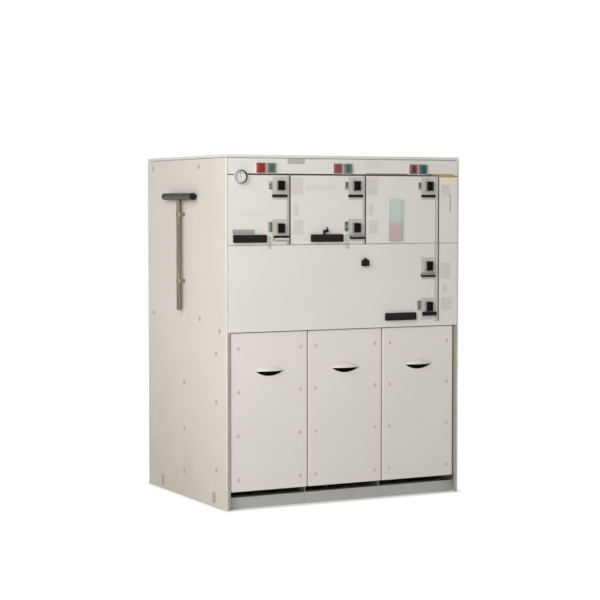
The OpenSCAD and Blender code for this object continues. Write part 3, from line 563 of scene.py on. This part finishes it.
# finishes that need one colour, which has the same key: by the function that makes them, key, name and look
PLAIN_FINISHES = {
    zinc_coat: (
        ("zinc", "Hot-dip zinc"),
        ("screw", "Zinc plate", 0.35),
        ("cover_screw", "Painted zinc", 0.1),
        ("clip", "Phosphated spring steel", 0.3),
    ),
    rolled_steel: (
        ("stainless", "Rolled stainless plate", 0.8, 0.34),
        # near-black ends of the shafts, as dark as the deep cups round them
        ("shaft", "Blackened steel", 0.5, 0.42),
    ),
    printed_foil: (
        ("foil", "Polycarbonate foil, grey"),
        ("band", "Polycarbonate foil, dark band"),
        ("band_pale", "Polycarbonate foil, pale band"),
        ("line", "Screen ink, black", 0.55),
        # painted shade along the seam under the fascia
        ("bus", "Screen ink, worn", 0.55),
        ("label", "PVC label plate"),
        ("faint", "PVC label plate, pale"),
        ("tag", "PVC tag, grey"),
        ("yellow", "PVC plate, yellow"),
        # painted shade along the seam under the fascia, in ochre
        ("ochre", "PVC plate, ochre"),
        ("dial", "Enamelled dial", 0.4),
        ("flag", "Flag, pale green"),
        ("flag_mid", "Flag, green"),
        ("flag_dark", "Flag, dark green"),
        ("flag_grey", "Flag, grey"),
        ("flag_slate", "Flag, slate"),
        ("flag_clay", "Flag, clay"),
    ),
    moulded_plastic: (
        ("cup", "Glass-filled nylon, grey", 0.5),
        ("black", "Glass-filled nylon, black", 0.55, 0.2, 0.25),
        ("frame", "ABS, light grey", 0.45),
        ("case", "ABS, black", 0.5, 0.2, 0.3),
        ("key", "Silicone keys, dark grey", 0.6, 0.2, 0.3),
        ("gauge", "Enamelled gauge case", 0.35, 0.08),
        ("red", "ABS cap, red", 0.32, 0.1),
        ("red_dull", "ABS cap, faded red", 0.4, 0.1),
        ("green", "ABS cap, green", 0.32, 0.1),
        ("brown", "ABS cap, brown", 0.32, 0.1),
        ("blue", "ABS cap, blue", 0.32, 0.1),
        # painted shade of the buttons' dished middles
        ("red_dull_inlay", "ABS inlay, faded red", 0.45, 0.1),
        ("red_inlay", "ABS inlay, red", 0.4, 0.1),
        ("green_inlay", "ABS inlay, green", 0.4, 0.1),
        ("brown_inlay", "ABS inlay, brown", 0.4, 0.1),
        ("blue_inlay", "ABS inlay, blue", 0.4, 0.1),
    ),
}


class Finishes:
    """Every finish, made once from the scene's colours."""

    made = None

    def __init__(self, hues):
        self.cover = powder_coat("Powder coat, light grey", hues.cover, hues.dust, 0.4)
        self.roof = powder_coat("Powder coat, light grey, dusty", shade(hues.cover, 0.97), hues.dust, 0.66)
        # darker towards the lower rear: with lean, the mix towards the dust's colour reaches higher at the
        # rear
        self.panel = powder_coat("Powder coat, warm grey", hues.panel, hues.dust, 0.46, 0.5, 0.6)
        self.rear = powder_coat("Powder coat, warm grey, rear", hues.panel, hues.dust, 0.5, 0.0, 0.4)
        self.door = powder_coat("Powder coat, pale grey", hues.door, shade(hues.door, 0.82), 0.44)
        self.beam = powder_coat("Powder coat, bluish grey", hues.beam, hues.dust, 0.5)
        self.beam_side = powder_coat("Powder coat, dull grey", hues.beam_side, hues.dust, 0.55)
        for maker, rows in PLAIN_FINISHES.items():
            for key, name, *look in rows:
                setattr(self, key, maker(name, getattr(hues, key), *look))
        # the sockets' black, with a grey painted highlight on the sides that face the left lamps
        self.socket = nylon_lit_from_left("Glass-filled nylon, grey sleeve", hues.black, hues.cup)
        low, red, mid, top = hues.fuse_low, hues.fuse_red, hues.fuse_mid, hues.fuse_top
        fields = ((0.0, low), (0.2, low), (0.3, red), (0.38, red), (0.46, mid), (0.6, top))
        self.fuse = faded_print("Fuse field, faded", fields, box_mm("fuse_window"))
        self.clear = clear_sheet("Clear acrylic", linear("#F6F8F7"))
        lever = box_mm("operating_lever")
        self.tube = phosphated_tube("Phosphated tube", hues.lever, hues.lever_worn, hues.black, lever)


def finishes(context):
    """The finishes, made when they are first asked for."""
    if Finishes.made is None:
        Finishes.made = Finishes(context.scene.rmu_colours)
    return Finishes.made


def size_mm(context, name):
    """A user's length in millimetres."""
    return getattr(context.scene.rmu_sizes, name) / MM


# ---- Operators ----


class RMU_OT_studio(bpy.types.Operator):
    """Set up the camera, the white floor and the soft light"""

    bl_idname = "rmu.studio"
    bl_label = "Studio"

    def execute(self, context):
        scene = context.scene
        scene.view_settings.view_transform = "Standard"
        camera = bpy.data.cameras.new("Camera")
        camera.sensor_width = 36.0
        camera.lens = 106.04
        camera.clip_end = 60.0
        viewer = bpy.data.objects.new("Camera", camera)
        viewer.location = (-3.2652, -6.3627, 1.1533)
        viewer.rotation_euler = Euler([math.radians(turn) for turn in (86.8799, 0.0, -27.1312)])
        scene.collection.objects.link(viewer)
        scene.camera = viewer

        # a wide floor just under the cabinet's feet
        floor_mesh = bpy.data.meshes.new("floor")
        bm = bmesh.new()
        bmesh.ops.create_grid(bm, x_segments=1, y_segments=1, size=40.0)
        bm.to_mesh(floor_mesh)
        bm.free()
        floor = bpy.data.objects.new("floor", floor_mesh)
        floor.location.z = -0.5 * MM
        scene.collection.objects.link(floor)
        # White paper that looks white to the camera, to gloss and through glass, and keeps a soft shadow.
        # Under the cabinet, where no lamp reaches, it doesn't glow, and the glow fades in over a band just
        # beyond
        # its plan, a painted contact shadow: the mask counts 0 inside its plan and 1 a little beyond.
        material, tree, place = new_material("Seamless paper, white")
        path = add(tree, "LightPath").outputs
        seen = path["Is Camera Ray"]
        for ray in ("Is Glossy Ray", "Is Transmission Ray"):
            seen = add(tree, "Math", {0: seen, 1: path[ray]}, operation="MAXIMUM")
        across = add(tree, "SeparateXYZ", {"Vector": place}).outputs
        beyond = []
        for axis, low, high in (("X", LEFT_X, RIGHT_X), ("Y", FRONT_Y, REAR_Y)):
            middle, half = (low + high) / 2 * MM, (high - low) / 2 * MM
            off = add(tree, "Math", {0: across[axis], 1: -middle}, operation="ADD")
            off = add(tree, "Math", {0: off}, operation="ABSOLUTE")
            beyond.append(add(tree, "Math", {0: off, 1: half}, operation="SUBTRACT"))
        beyond = add(tree, "Math", dict(enumerate(beyond)), operation="MAXIMUM")
        glow_share = 0.78
        # painted contact shadow: the glow fades in from 30 mm inside the plan to 50 mm beyond it
        edge = {"Value": beyond, "From Min": -0.03, "From Max": 0.05}
        clear_of_painted_shadow = add(tree, "MapRange", edge, interpolation_type="SMOOTHSTEP")
        share = add(tree, "Math", {0: seen, 1: clear_of_painted_shadow}, operation="MULTIPLY")
        share = add(tree, "Math", {0: share, 1: glow_share}, operation="MULTIPLY")
        paper = add(tree, "BsdfDiffuse", {"Color": linear("#F4F4F2")})
        white = linear("#FFFFFF")
        glow = add(tree, "Emission", {"Color": white, "Strength": 1.22})
        mix = add(tree, "MixShader", {0: share, 1: paper, 2: glow})
        floor_mesh.materials.append(surfaced(material, mix))

        world = bpy.data.worlds.new("Studio")
        scene.world = world
        world.use_nodes = True
        tree = world.node_tree
        tree.nodes.clear()
        path = add(tree, "LightPath").outputs
        seen = {0: path["Is Camera Ray"], 1: path["Is Transmission Ray"]}
        seen = add(tree, "Math", seen, operation="MAXIMUM")
        soft = add(tree, "Background", {"Color": white, "Strength": 0.35})
        plain = add(tree, "Background", {"Color": white, "Strength": 1.0})
        mix = add(tree, "MixShader", {0: seen, 1: soft, 2: plain})
        add(tree, "OutputWorld", {"Surface": mix})

        for name, place, target, size, power in (
            ("Key", (-2.6, -3.8, 2.2), (-0.2, 0.0, 0.8), 2.6, 68.0),
            ("Left", (-2.7, -1.7, 2.2), (-0.5, 0.0, 0.9), 1.8, 48.0),
            ("Rear", (2.4, 4.4, 2.0), (0.1, 0.0, 0.7), 3.0, 120.0),
        ):
            lamp = bpy.data.lights.new(name, "AREA")
            lamp.size = size
            lamp.energy = power
            lamp.color = white[:3]
            shown = bpy.data.objects.new(name, lamp)
            shown.location = place
            shown.rotation_euler = (Vector(target) - Vector(place)).to_track_quat("-Z", "Y").to_euler()
            scene.collection.objects.link(shown)
        return {"FINISHED"}


class RMU_OT_finishes(bpy.types.Operator):
    """Give every solid node its finish"""

    bl_idname = "rmu.finishes"
    bl_label = "Finishes of the solid nodes"

    def execute(self, context):
        made = finishes(context)
        # the first name that a node's own name starts with counts
        chosen = {
            "side_panel": made.panel,
            "rear_panel": made.rear,
            "cable_cover": made.door,
            "roof_panel": made.roof,
            "fascia": made.cover,
            "upper_cover": made.cover,
            "middle_cover": made.cover,
            "front_post": made.zinc,
            "partition": made.zinc,
            "gas_tank": made.stainless,
            "base_beam_left": made.beam_side,
            "base_beam_right": made.beam_side,
            "base_beam": made.beam,
            "control_plate": made.foil,
            "drive_sockets": made.socket,
            "drive_shafts": made.shaft,
            "padlock_slides": made.black,
            "position_indicators": made.frame,
            "voltage_indicator": made.case,
            "test_plug": made.black,
            "pressure_gauge": made.gauge,
            "fuse_window": made.fuse,
            "cover_lock": made.black,
            "off_button_2": made.red_dull,
            "off_button_3": made.brown,
            "on_button_3": made.blue,
            "off_button": made.red,
            "on_button": made.green,
            "operating_lever": made.tube,
            "lever_clips": made.clip,
        }
        for name, node in FRAME["nodes"].items():
            material = next((finish for start, finish in chosen.items() if name.startswith(start)), None)
            if material is None:
                raise RuntimeError(f"no finish for {name}")
            node.data.materials.clear()
            node.data.materials.append(material)
        return {"FINISHED"}


class RMU_OT_mimic(bpy.types.Operator):
    """Print the mimic diagram and the bands of the control plates, and paint shade along the fascia's seam
    """

    bl_idname = "rmu.mimic"
    bl_label = "Mimic diagram"

    def execute(self, context):
        made = finishes(context)
        width, ink = size_mm(context, "line_w"), size_mm(context, "ink_t")
        front, plate = facing("front", FRONT_Y), facing("front", PLATE_Y)
        edges = [box_mm(f"control_plate_{name}")[1].x for name in ("1", "2", "3_upper")]
        bm = bmesh.new()
        # busbar line on the fascia's foot to the second module's edge, then painted seam shade to the
        # third's
        for left, right, rise, thick, finish in (
            (MODULE_X[0] - 138, edges[1], 1.4, 2.4, 0),
            (edges[1], edges[2] + 3, 3.2, 6.0, 1),
        ):
            z = FASCIA_Z0 + rise
            bar(bm, front, (left, z), (right, z), thick, 0, ink, finish)
        # a line down the right edge of the first two plates
        for edge in edges[:2]:
            x = edge - width / 2 - 0.1
            bar(bm, plate, (x, UPPER_Z0 + 1), (x, UPPER_Z1 - 1), width, 0, ink)
        # two lines beside the third module's plates, and a short one near the cabinet's edge
        beside = edges[2] + width / 2 + 0.3
        for x, foot, top, thick in (
            (beside, UPPER_Z0, UPPER_Z1, width),
            (beside, box_mm("control_plate_3_lower")[0].z, MIDDLE_Z1, width),
            (RIGHT_X - 42, UPPER_Z0 + 120, UPPER_Z0 + 193, 2.2),
        ):
            bar(bm, front, (x, foot), (x, top), thick, 0, ink)
        piece("mimic_lines", bm, [made.line, made.bus])
        # a band down the right edge of each plate, up to the line where there is one
        band_w = 16.0
        bm = bmesh.new()
        for name, finish in (("1", 0), ("2", 1), ("3_upper", 1), ("3_lower", 1)):
            x, z, plate_w, tall = front_of(f"control_plate_{name}")
            clear = 0.5 if name.startswith("3") else width + 0.4
            wide = band_w - clear
            left = x + plate_w / 2 - band_w
            pad(bm, plate, left + wide / 2, z, wide, tall - 1, 0.5, 0, ink, 0.1, finish)
        piece("control_bands", bm, [made.band, made.band_pale])
        return {"FINISHED"}


class RMU_OT_labels(bpy.types.Operator):
    """Fit the bare label plates, and paint the shade along the fascia's seam by the yellow plate"""

    bl_idname = "rmu.labels"
    bl_label = "Label plates"

    def execute(self, context):
        made = finishes(context)
        front = facing("front", FRONT_Y)
        thick = size_mm(context, "label_t")
        used = [made.label, made.tag, made.yellow, made.ochre, made.band_pale, made.faint, made.band]
        # left, right, foot and top of each plate, and the place of its finish in the list above
        plates = [
            (-239, -187, 1186, 1254, 0),
            (-228, -207, 1108, 1154, 0),
            (-229, -186, 1037, 1090, 0),
            (-452, -350, 1111, 1114, 0),
            (88, 140, 1186, 1254, 0),
            (98, 119, 1108, 1154, 0),
            (98, 141, 1037, 1090, 0),
            (-178, -50, 1206, 1224, 5),
            (430, 467, 1182, 1226, 0),
            (426, 470, 858, 921, 0),
            (434, 455, 798, 837, 0),
            (428, 478, 731, 780, 0),
            (-484, -392, 1038, 1057, 1),
            (-336, -321, 999, 1030, 4),
            (-336, -321, 982, 996, 4),
            (-5, 14, 999, 1037, 4),
            (-5, 14, 980, 996, 4),
            (418, 501, 1232, 1256, 2),
            # two strips of painted shade in ochre along the seam under the fascia, by the yellow plate
            (382, 414, 1264.2, 1270, 3),
            (414, 484, 1257, 1270, 3),
            (-254, -180, 1303, 1323, 6),
            (72, 150, 1284, 1316, 5),
        ]
        bm = bmesh.new()
        for left, right, foot, top, finish in plates:
            place = ((left + right) / 2, (foot + top) / 2, right - left, top - foot)
            pad(bm, front, *place, 1.5, 0, thick, 0.2, finish)
        piece("label_plates", bm, used)
        return {"FINISHED"}


class RMU_OT_end_plates(bpy.types.Operator):
    """Close the base frame's two rear corners beside the rear beam"""

    bl_idname = "rmu.end_plates"
    bl_label = "Base end plates"

    def execute(self, context):
        low, high = box_mm("base_beam_rear")
        clear, thick, sunk, sheet = 0.4, 2.0, 0.2, 2.0
        inner = RIGHT_X - sheet
        wide, tall = inner - high.x - 2 * clear, high.z - low.z - 2 * clear
        bm = bmesh.new()
        for side in (-1, 1):
            x = -side * (high.x + inner) / 2
            pad(bm, facing("rear", high.y), x, (low.z + high.z) / 2, wide, tall, 0.6, -thick, -sunk, 0.3)
        piece("base_end_plates", bm, [finishes(context).beam])
        return {"FINISHED"}


class RMU_OT_fasteners(bpy.types.Operator):
    """Fit the screws of the covers and panels"""

    bl_idname = "rmu.fasteners"
    bl_label = "Fasteners"

    def execute(self, context):
        made = finishes(context)
        head, washer = size_mm(context, "screw_d"), size_mm(context, "washer_d")
        aside, heights, rise, key = 131, (113, 280, 446, 609), 2.2, 4.5
        for number, x in enumerate(MODULE_X, 1):
            bm = bmesh.new()
            for u in (x - aside, x + aside):
                for z in heights:
                    button_screw(bm, facing("front", COVER_Y), u, z, head, washer, rise, key)
            piece(f"cover_screws_{number}", bm, [made.cover_screw], f"cable_cover_{number}")
        # flush screws in the panels' dimples: on the sides, their heights by distance from the front
        dip, dimple, key = 1.0, 20.0, 5.0
        rows = {60: [674], 92: [586, 401, 143], 244: [710], 250: [1294], 395: [268, 453, 99]}
        rows = {**rows, 706: [710], 708: [1294]}
        on_side = [(FRONT_Y + depth, z) for depth, heights in rows.items() for z in heights]
        aside, heights = 462.5, (82, 401, 710, 1284)
        panels = {
            "left": (LEFT_X, [(-y, z) for y, z in on_side]),
            "right": (RIGHT_X, on_side),
            "rear": (REAR_Y, [(x, z) for x in (-aside, aside) for z in heights]),
        }
        for side, (plane, places) in panels.items():
            bm = bmesh.new()
            for u, z in places:
                button_screw(bm, facing(side, plane), u, z, head + 2, dimple - 0.6, dip, key, -dip)
            piece(f"panel_screws_{side}", bm, [made.screw])
        return {"FINISHED"}


class RMU_OT_sockets(bpy.types.Operator):
    """Line the cups round the shafts, finish the shafts' ends, and fit the slides' ribs and caps"""

    bl_idname = "rmu.sockets"
    bl_label = "Shaft sockets"

    def execute(self, context):
        made = finishes(context)
        place = facing("front", PLATE_Y)
        # a lining in each cup, a collar round the shaft on its floor, and the shaft's end with a centre hole
        wide, high, floor, mouth = 24.0, 29.0, 3.5, 13.4
        collar = [(11.2, 0), (11.2, 1.2), (10.6, 1.6), (9.4, 1.6), (9.0, 1.2), (9.0, 0)]
        collar = [(radius, floor + w) for radius, w in collar]
        flats, end = 14.0, 7.5
        liners, ends = bmesh.new(), bmesh.new()
        for middle in SOCKETS.values():
            x, z = middle.x, middle.z
            bezel(liners, place, x, z, wide - 0.2, high - 0.2, 1.4, 0.9, floor, mouth, 0.3)
            turned(liners, place, x, z, collar, closed=True, steps=40)
            rings = [
                (hexagon(x, z, flats + 0.2, 36), end - 1.0),
                (hexagon(x, z, flats + 0.2, 36), end - 0.2),
                (hexagon(x, z, flats - 1.4, 36), end + 0.6),
                (disc(x, z, 2.4, 36), end + 0.6),
                (disc(x, z, 0.6, 36), end - 0.6),
            ]
            loft(ends, place, rings)
        piece("socket_liners", liners, [made.black])
        piece("shaft_ends", ends, [made.shaft])
        # three ribs on each end of a slide, and a bright cap over one half of the lower slides
        rib_x, rib_pitch, rib_w, rib_clear, cap_w, cap_h = 21.5, 2.4, 1.2, 2.4, 61.6, 7.2
        # drop of each slide below its shaft, place to its right, and height
        upper, lower = (39, -3, 10), (36, 4, 15)
        slides = {"3_middle": (36, -3, 15), "3_lower": (29, 4, 15)}
        # rise of each cap above the slide's middle, and its finish
        caps = {"1_lower": (-4.6, 1), "2_lower": (3.8, 2), "3_middle": (3.8, 2)}
        bm = bmesh.new()
        for name, middle in SOCKETS.items():
            drop, shift, tall = slides.get(name, upper if name.endswith("upper") else lower)
            x, z = middle.x + shift, middle.z - drop
            for side in (-1, 1):
                for step in range(3):
                    u = x + side * (rib_x - rib_pitch * step)
                    pad(bm, place, u, z, rib_w, tall - rib_clear, 0.5, 6.9, 7.7, 0.25)
            if name in caps:
                rise, finish = caps[name]
                pad(bm, place, x, z + rise, cap_w, cap_h, 0.5, 5.0, 9.3, 0.2, finish)
        # the key cap beside the second module's lower socket
        lock, aside = SOCKETS["2_lower"], 20.5
        turned(bm, place, lock.x + aside, lock.z, [(3.6, 0), (3.6, 2.6), (3.0, 3.2), (1.0, 3.3)], steps=24)
        piece("slide_grips", bm, [made.black, made.foil, made.cup])
        return {"FINISHED"}


class RMU_OT_dish_shades(bpy.types.Operator):
    """Let a darker square into the face of each push button: the painted shade of its dished middle"""

    bl_idname = "rmu.inlays"
    bl_label = "Button inlays"

    def execute(self, context):
        made = finishes(context)
        dish_shades = {
            "off_button_1": made.red_inlay,
            "off_button_2": made.red_dull_inlay,
            "off_button_3": made.brown_inlay,
            "on_button_1": made.green_inlay,
            "on_button_2": made.green_inlay,
            "on_button_3": made.blue_inlay,
        }
        # each square is painted shade, darker than its cap, where the cap's dish would lie in shade
        share_w, share_h, proud, deep = 0.6, 0.8, 0.15, 1.5
        for button, material in dish_shades.items():
            x, z, wide, tall = front_of(button)
            face = facing("front", box_mm(button)[0].y)
            bm = bmesh.new()
            pad(bm, face, x, z, wide * share_w, tall * share_h, 1.5, -deep, proud, 0.3)
            piece(f"{button}_inlay", bm, [material], button)
        return {"FINISHED"}


class RMU_OT_indicators(bpy.types.Operator):
    """Fit the flags and panes of the position indicators"""

    bl_idname = "rmu.indicators"
    bl_label = "Position indicators"

    def execute(self, context):
        made = finishes(context)
        front = facing("front", FRONT_Y)
        used = [made.flag, made.flag_mid, made.flag_dark, made.flag_grey, made.flag_slate, made.flag_clay]
        # fields of each flag, from its foot up or, in one, side by side from the left: the share of the
        # window where each ends, and the place of its finish in the list above
        shown = {
            "1_upper": [(0.26, 4), (0.42, 3), (0.66, 4), (1, 3)],
            "2_upper": [(0.2, 3), (1, 4)],
            "3_upper": [(0.2, 3), (1, 4)],
            "1_lower": [(0.5, 0), (1, 2)],
            "2_lower": [(0.28, 2), (0.72, 1), (1, 2)],
            "3_lower": [(0.3, 5), (0.5, 4), (0.75, 5), (1, 4)],
        }
        side_by_side = "1_lower"
        rim, clear, aside, behind, face, pane_face = 1.5, 0.3, 34, 3.9, 4.25, 4.9
        pane_t = size_mm(context, "pane_t")
        flags, panes = bmesh.new(), bmesh.new()
        for name, fields in shown.items():
            # size of the window, to the shaft's left, and rise of its middle above the shaft
            wide, tall, rise = (14, 30, 0) if name.endswith("upper") else (17, 38, 5)
            x, z = SOCKETS[name].x - aside - wide / 2, SOCKETS[name].z + rise
            inner_w, inner_h = wide - 2 * rim - clear, tall - 2 * rim - clear
            start = 0
            for end, finish in fields:
                offset, part = (start + end - 1) / 2, end - start
                if name == side_by_side:
                    field = (x + inner_w * offset, z, inner_w * part, inner_h)
                else:
                    field = (x, z + inner_h * offset, inner_w, inner_h * part)
                pad(flags, front, *field, 0.2, behind, face, 0.05, finish)
                start = end
            pad(panes, front, x, z, inner_w, inner_h, 0.4, pane_face - pane_t, pane_face, 0.1)
        piece("position_flags", flags, used)
        piece("position_panes", panes, [made.clear])
        return {"FINISHED"}


class RMU_OT_instruments(bpy.types.Operator):
    """Fit the faces of the voltage indicators"""

    bl_idname = "rmu.instruments"
    bl_label = "Voltage indicators"

    def execute(self, context):
        made = finishes(context)
        window_rise, key_rise, key_x, key_pitch, cap_drop, lip_y = 6, 6.5, 30, 11, 4.8, 6.2
        cap = [(2.9, 1.9), (2.9, 2.5), (2.2, 2.9), (0.9, 3.0)]
        for number in (1, 2, 3):
            low = box_mm(f"voltage_indicator_{number}")[0]
            x, z, wide = front_of(f"voltage_indicator_{number}")[:3]
            place = facing("front", low.y + 2.0)
            bm = bmesh.new()
            # a display window in a raised frame, three keys on either side, and a cap over each test point
            bezel(bm, place, x, z + window_rise, 40, 11, 1.4, 1.6, -0.1, 0.8, 0.3)
            pad(bm, place, x, z + window_rise, 37, 8, 0.6, -0.1, 0.4, 0.1, 1)
            for side in (-1, 1):
                for step in range(3):
                    u = x + side * (key_x + key_pitch * step)
                    pad(bm, place, u, z + key_rise, 7.5, 5.5, 1.2, -0.1, 0.9, 0.4, 1)
            for step in (-1, 0, 1):
                turned(bm, place, x + step * wide / 4, z - cap_drop, cap, steps=20, material=1)
            # painted shadow under the case: a grey strip along its lower lip
            pad(bm, facing("foot", low.z), x, -(low.y + lip_y), 130, 9.5, 1.0, -0.3, 0.6, 0.3, 2)
            piece(f"voltage_face_{number}", bm, [made.case, made.key, made.cup])
        return {"FINISHED"}


class RMU_OT_gauge(bpy.types.Operator):
    """Fit the dial, pointer, inner ring and glass of the pressure gauge"""

    bl_idname = "rmu.gauge"
    bl_label = "Pressure gauge"

    def execute(self, context):
        made = finishes(context)
        x, z, outer_d = front_of("pressure_gauge")[:3]
        inner = outer_d / 2 - 2
        # the face of the case is at w = 0, and the floor of its well 9 mm behind it
        place = facing("front", box_mm("pressure_gauge")[0].y)
        floor = -9.0
        # the black well narrows towards the dial
        dial = inner - 2.8
        profile = [
            (inner - 0.03, floor + 0.05),
            (inner - 0.03, -0.4),
            (inner - 0.4, -0.15),
            (inner - 0.8, -0.4),
            (dial, floor + 1.4),
            (dial, floor + 0.05),
        ]
        bm = bmesh.new()
        turned(bm, place, x, z, profile, closed=True, steps=72)
        piece("gauge_ring", bm, [made.black])
        face = floor + 1.3
        bm = bmesh.new()
        turned(bm, place, x, z, [(dial - 0.1, floor + 0.05), (dial - 0.1, floor + 1.1), (dial - 0.4, face)])
        piece("gauge_dial", bm, [made.dial])
        # ticks round three quarters of the dial, every sixth one long, and two arcs of colour inside them
        ticks, flat = context.scene.rmu_sizes.ticks, (face, face + 0.1)
        bm = bmesh.new()
        for tick in range(ticks):
            angle = math.radians(225 - 270 * tick / (ticks - 1))
            start, width = (dial * 0.84, 0.6) if tick % 6 == 0 else (dial * 0.9, 0.3)
            ends = (polar(x, z, start, angle), polar(x, z, dial * 0.96, angle))
            bar(bm, place, *ends, width, *flat)
        for start, end, finish in ((225, 160, 1), (158, 40, 2)):
            arc_strip(bm, place, x, z, dial * 0.74, dial * 0.79, start, end, *flat, material=finish)
        # a pointer with a counterweight on a turned hub
        angle = math.radians(100)
        ends = (polar(x, z, -dial * 0.3, angle), polar(x, z, dial * 0.72, angle))
        bar(bm, place, *ends, 0.8, face + 0.6, face + 1.0)
        turned(bm, place, x, z, [(2.0, face), (2.0, face + 1.4), (1.4, face + 1.8)], steps=24, material=3)
        piece("gauge_scale", bm, [made.line, made.red, made.green, made.cup])
        profile = [(inner - 1.15, -3.2), (inner - 1.15, -2.2), (inner - 6.0, -1.7), (inner - 14.0, -1.4)]
        bm = bmesh.new()
        turned(bm, place, x, z, profile, steps=64)
        piece("gauge_glass", bm, [made.clear])
        return {"FINISHED"}


class RMU_OT_fuse_window(bpy.types.Operator):
    """Fit the fields and the pane of the fuse status window"""

    bl_idname = "rmu.fuse_window"
    bl_label = "Fuse status window"

    def execute(self, context):
        made = finishes(context)
        x, z, wide, tall = front_of("fuse_window")
        right, foot, top = x + wide / 2, z - tall / 2, z + tall / 2
        place = facing("front", FRONT_Y)
        # the field inside the frame's rim, a strip down its right side, and its bare lower right corner
        rim, strip_in, strip_end, strip_w = 3.15, 7, 6, 2.4
        bare_in, bare_w, bare_h = 3.2, 13.0, tall * 0.38
        field_w, field_h = wide - 2 * rim, tall - 2 * rim
        strip_x = right - strip_in
        bm = bmesh.new()
        pad(bm, place, x, z, field_w, field_h, 0.3, 2.4, 2.75, 0.05)
        bar(bm, place, (strip_x, foot + strip_end), (strip_x, top - strip_end), strip_w, 2.7, 2.9, 1)
        corner = (right - bare_in - bare_w / 2, foot + bare_in + bare_h / 2)
        pad(bm, place, *corner, bare_w, bare_h, 0.3, 2.7, 2.85, 0.05, 2)
        piece("fuse_fields", bm, [made.fuse, made.tag, made.band])
        pane_t, pane_face = size_mm(context, "pane_t"), 3.85
        bm = bmesh.new()
        pad(bm, place, x, z, field_w, field_h, 1.8, pane_face - pane_t, pane_face, 0.1)
        piece("fuse_pane", bm, [made.clear])
        return {"FINISHED"}


class RMU_OT_lever(bpy.types.Operator):
    """Plug the ends of the lever's crossbar"""

    bl_idname = "rmu.lever"
    bl_label = "Operating lever"

    def execute(self, context):
        low, high = box_mm("operating_lever")
        x, radius = (low.x + high.x) / 2, (high.x - low.x) / 2
        z = high.z - radius
        # a sleeve over the reduced end of the bar, with a domed face
        profile = [(radius - 0.45, -14.0), (radius - 0.02, -13.6), (radius - 0.02, -2.4)]
        profile += [(radius - 0.6, -1.0), (radius - 1.9, -0.25), (radius - 5.0, -0.05), (1.0, 0.0)]
        for side, plane, sign in (("front", low.y, 1), ("rear", high.y, -1)):
            bm = bmesh.new()
            turned(bm, facing(side, plane), sign * x, z, profile)
            piece(f"lever_plug_{side}", bm, [finishes(context).black])
        return {"FINISHED"}


class RMU_PT_panel(bpy.types.Panel):
    """Lists the steps and the values of the ring main unit"""

    bl_idname = "RMU_PT_panel"
    bl_label = "Ring Main Unit"
    bl_space_type = "VIEW_3D"
    bl_region_type = "UI"
    bl_category = "Ring Main Unit"

    def draw(self, context):
        for operator in OPERATORS:
            self.layout.operator(operator.bl_idname)
        for group in (context.scene.rmu_sizes, context.scene.rmu_colours):
            column = self.layout.column()
            for name in group.bl_rna.properties.keys():
                if name not in ("rna_type", "name"):
                    column.prop(group, name)


OPERATORS = (
    RMU_OT_studio,
    RMU_OT_finishes,
    RMU_OT_mimic,
    RMU_OT_labels,
    RMU_OT_end_plates,
    RMU_OT_fasteners,
    RMU_OT_sockets,
    RMU_OT_dish_shades,
    RMU_OT_indicators,
    RMU_OT_instruments,
    RMU_OT_gauge,
    RMU_OT_fuse_window,
    RMU_OT_lever,
)
CLASSES = (RMU_PG_colours, RMU_PG_sizes, *OPERATORS, RMU_PT_panel)


def register():
    """Register the classes and the scene's values."""
    for cls in CLASSES:
        bpy.utils.register_class(cls)
    bpy.types.Scene.rmu_colours = PointerProperty(type=RMU_PG_colours)
    bpy.types.Scene.rmu_sizes = PointerProperty(type=RMU_PG_sizes)


def unregister():
    """Take them away again."""
    del bpy.types.Scene.rmu_sizes
    del bpy.types.Scene.rmu_colours
    for cls in reversed(CLASSES):
        bpy.utils.unregister_class(cls)


def main():
    register()
    for operator in OPERATORS:
        group, name = operator.bl_idname.split(".")
        getattr(getattr(bpy.ops, group), name)()


if __name__ == "__main__":
    main()
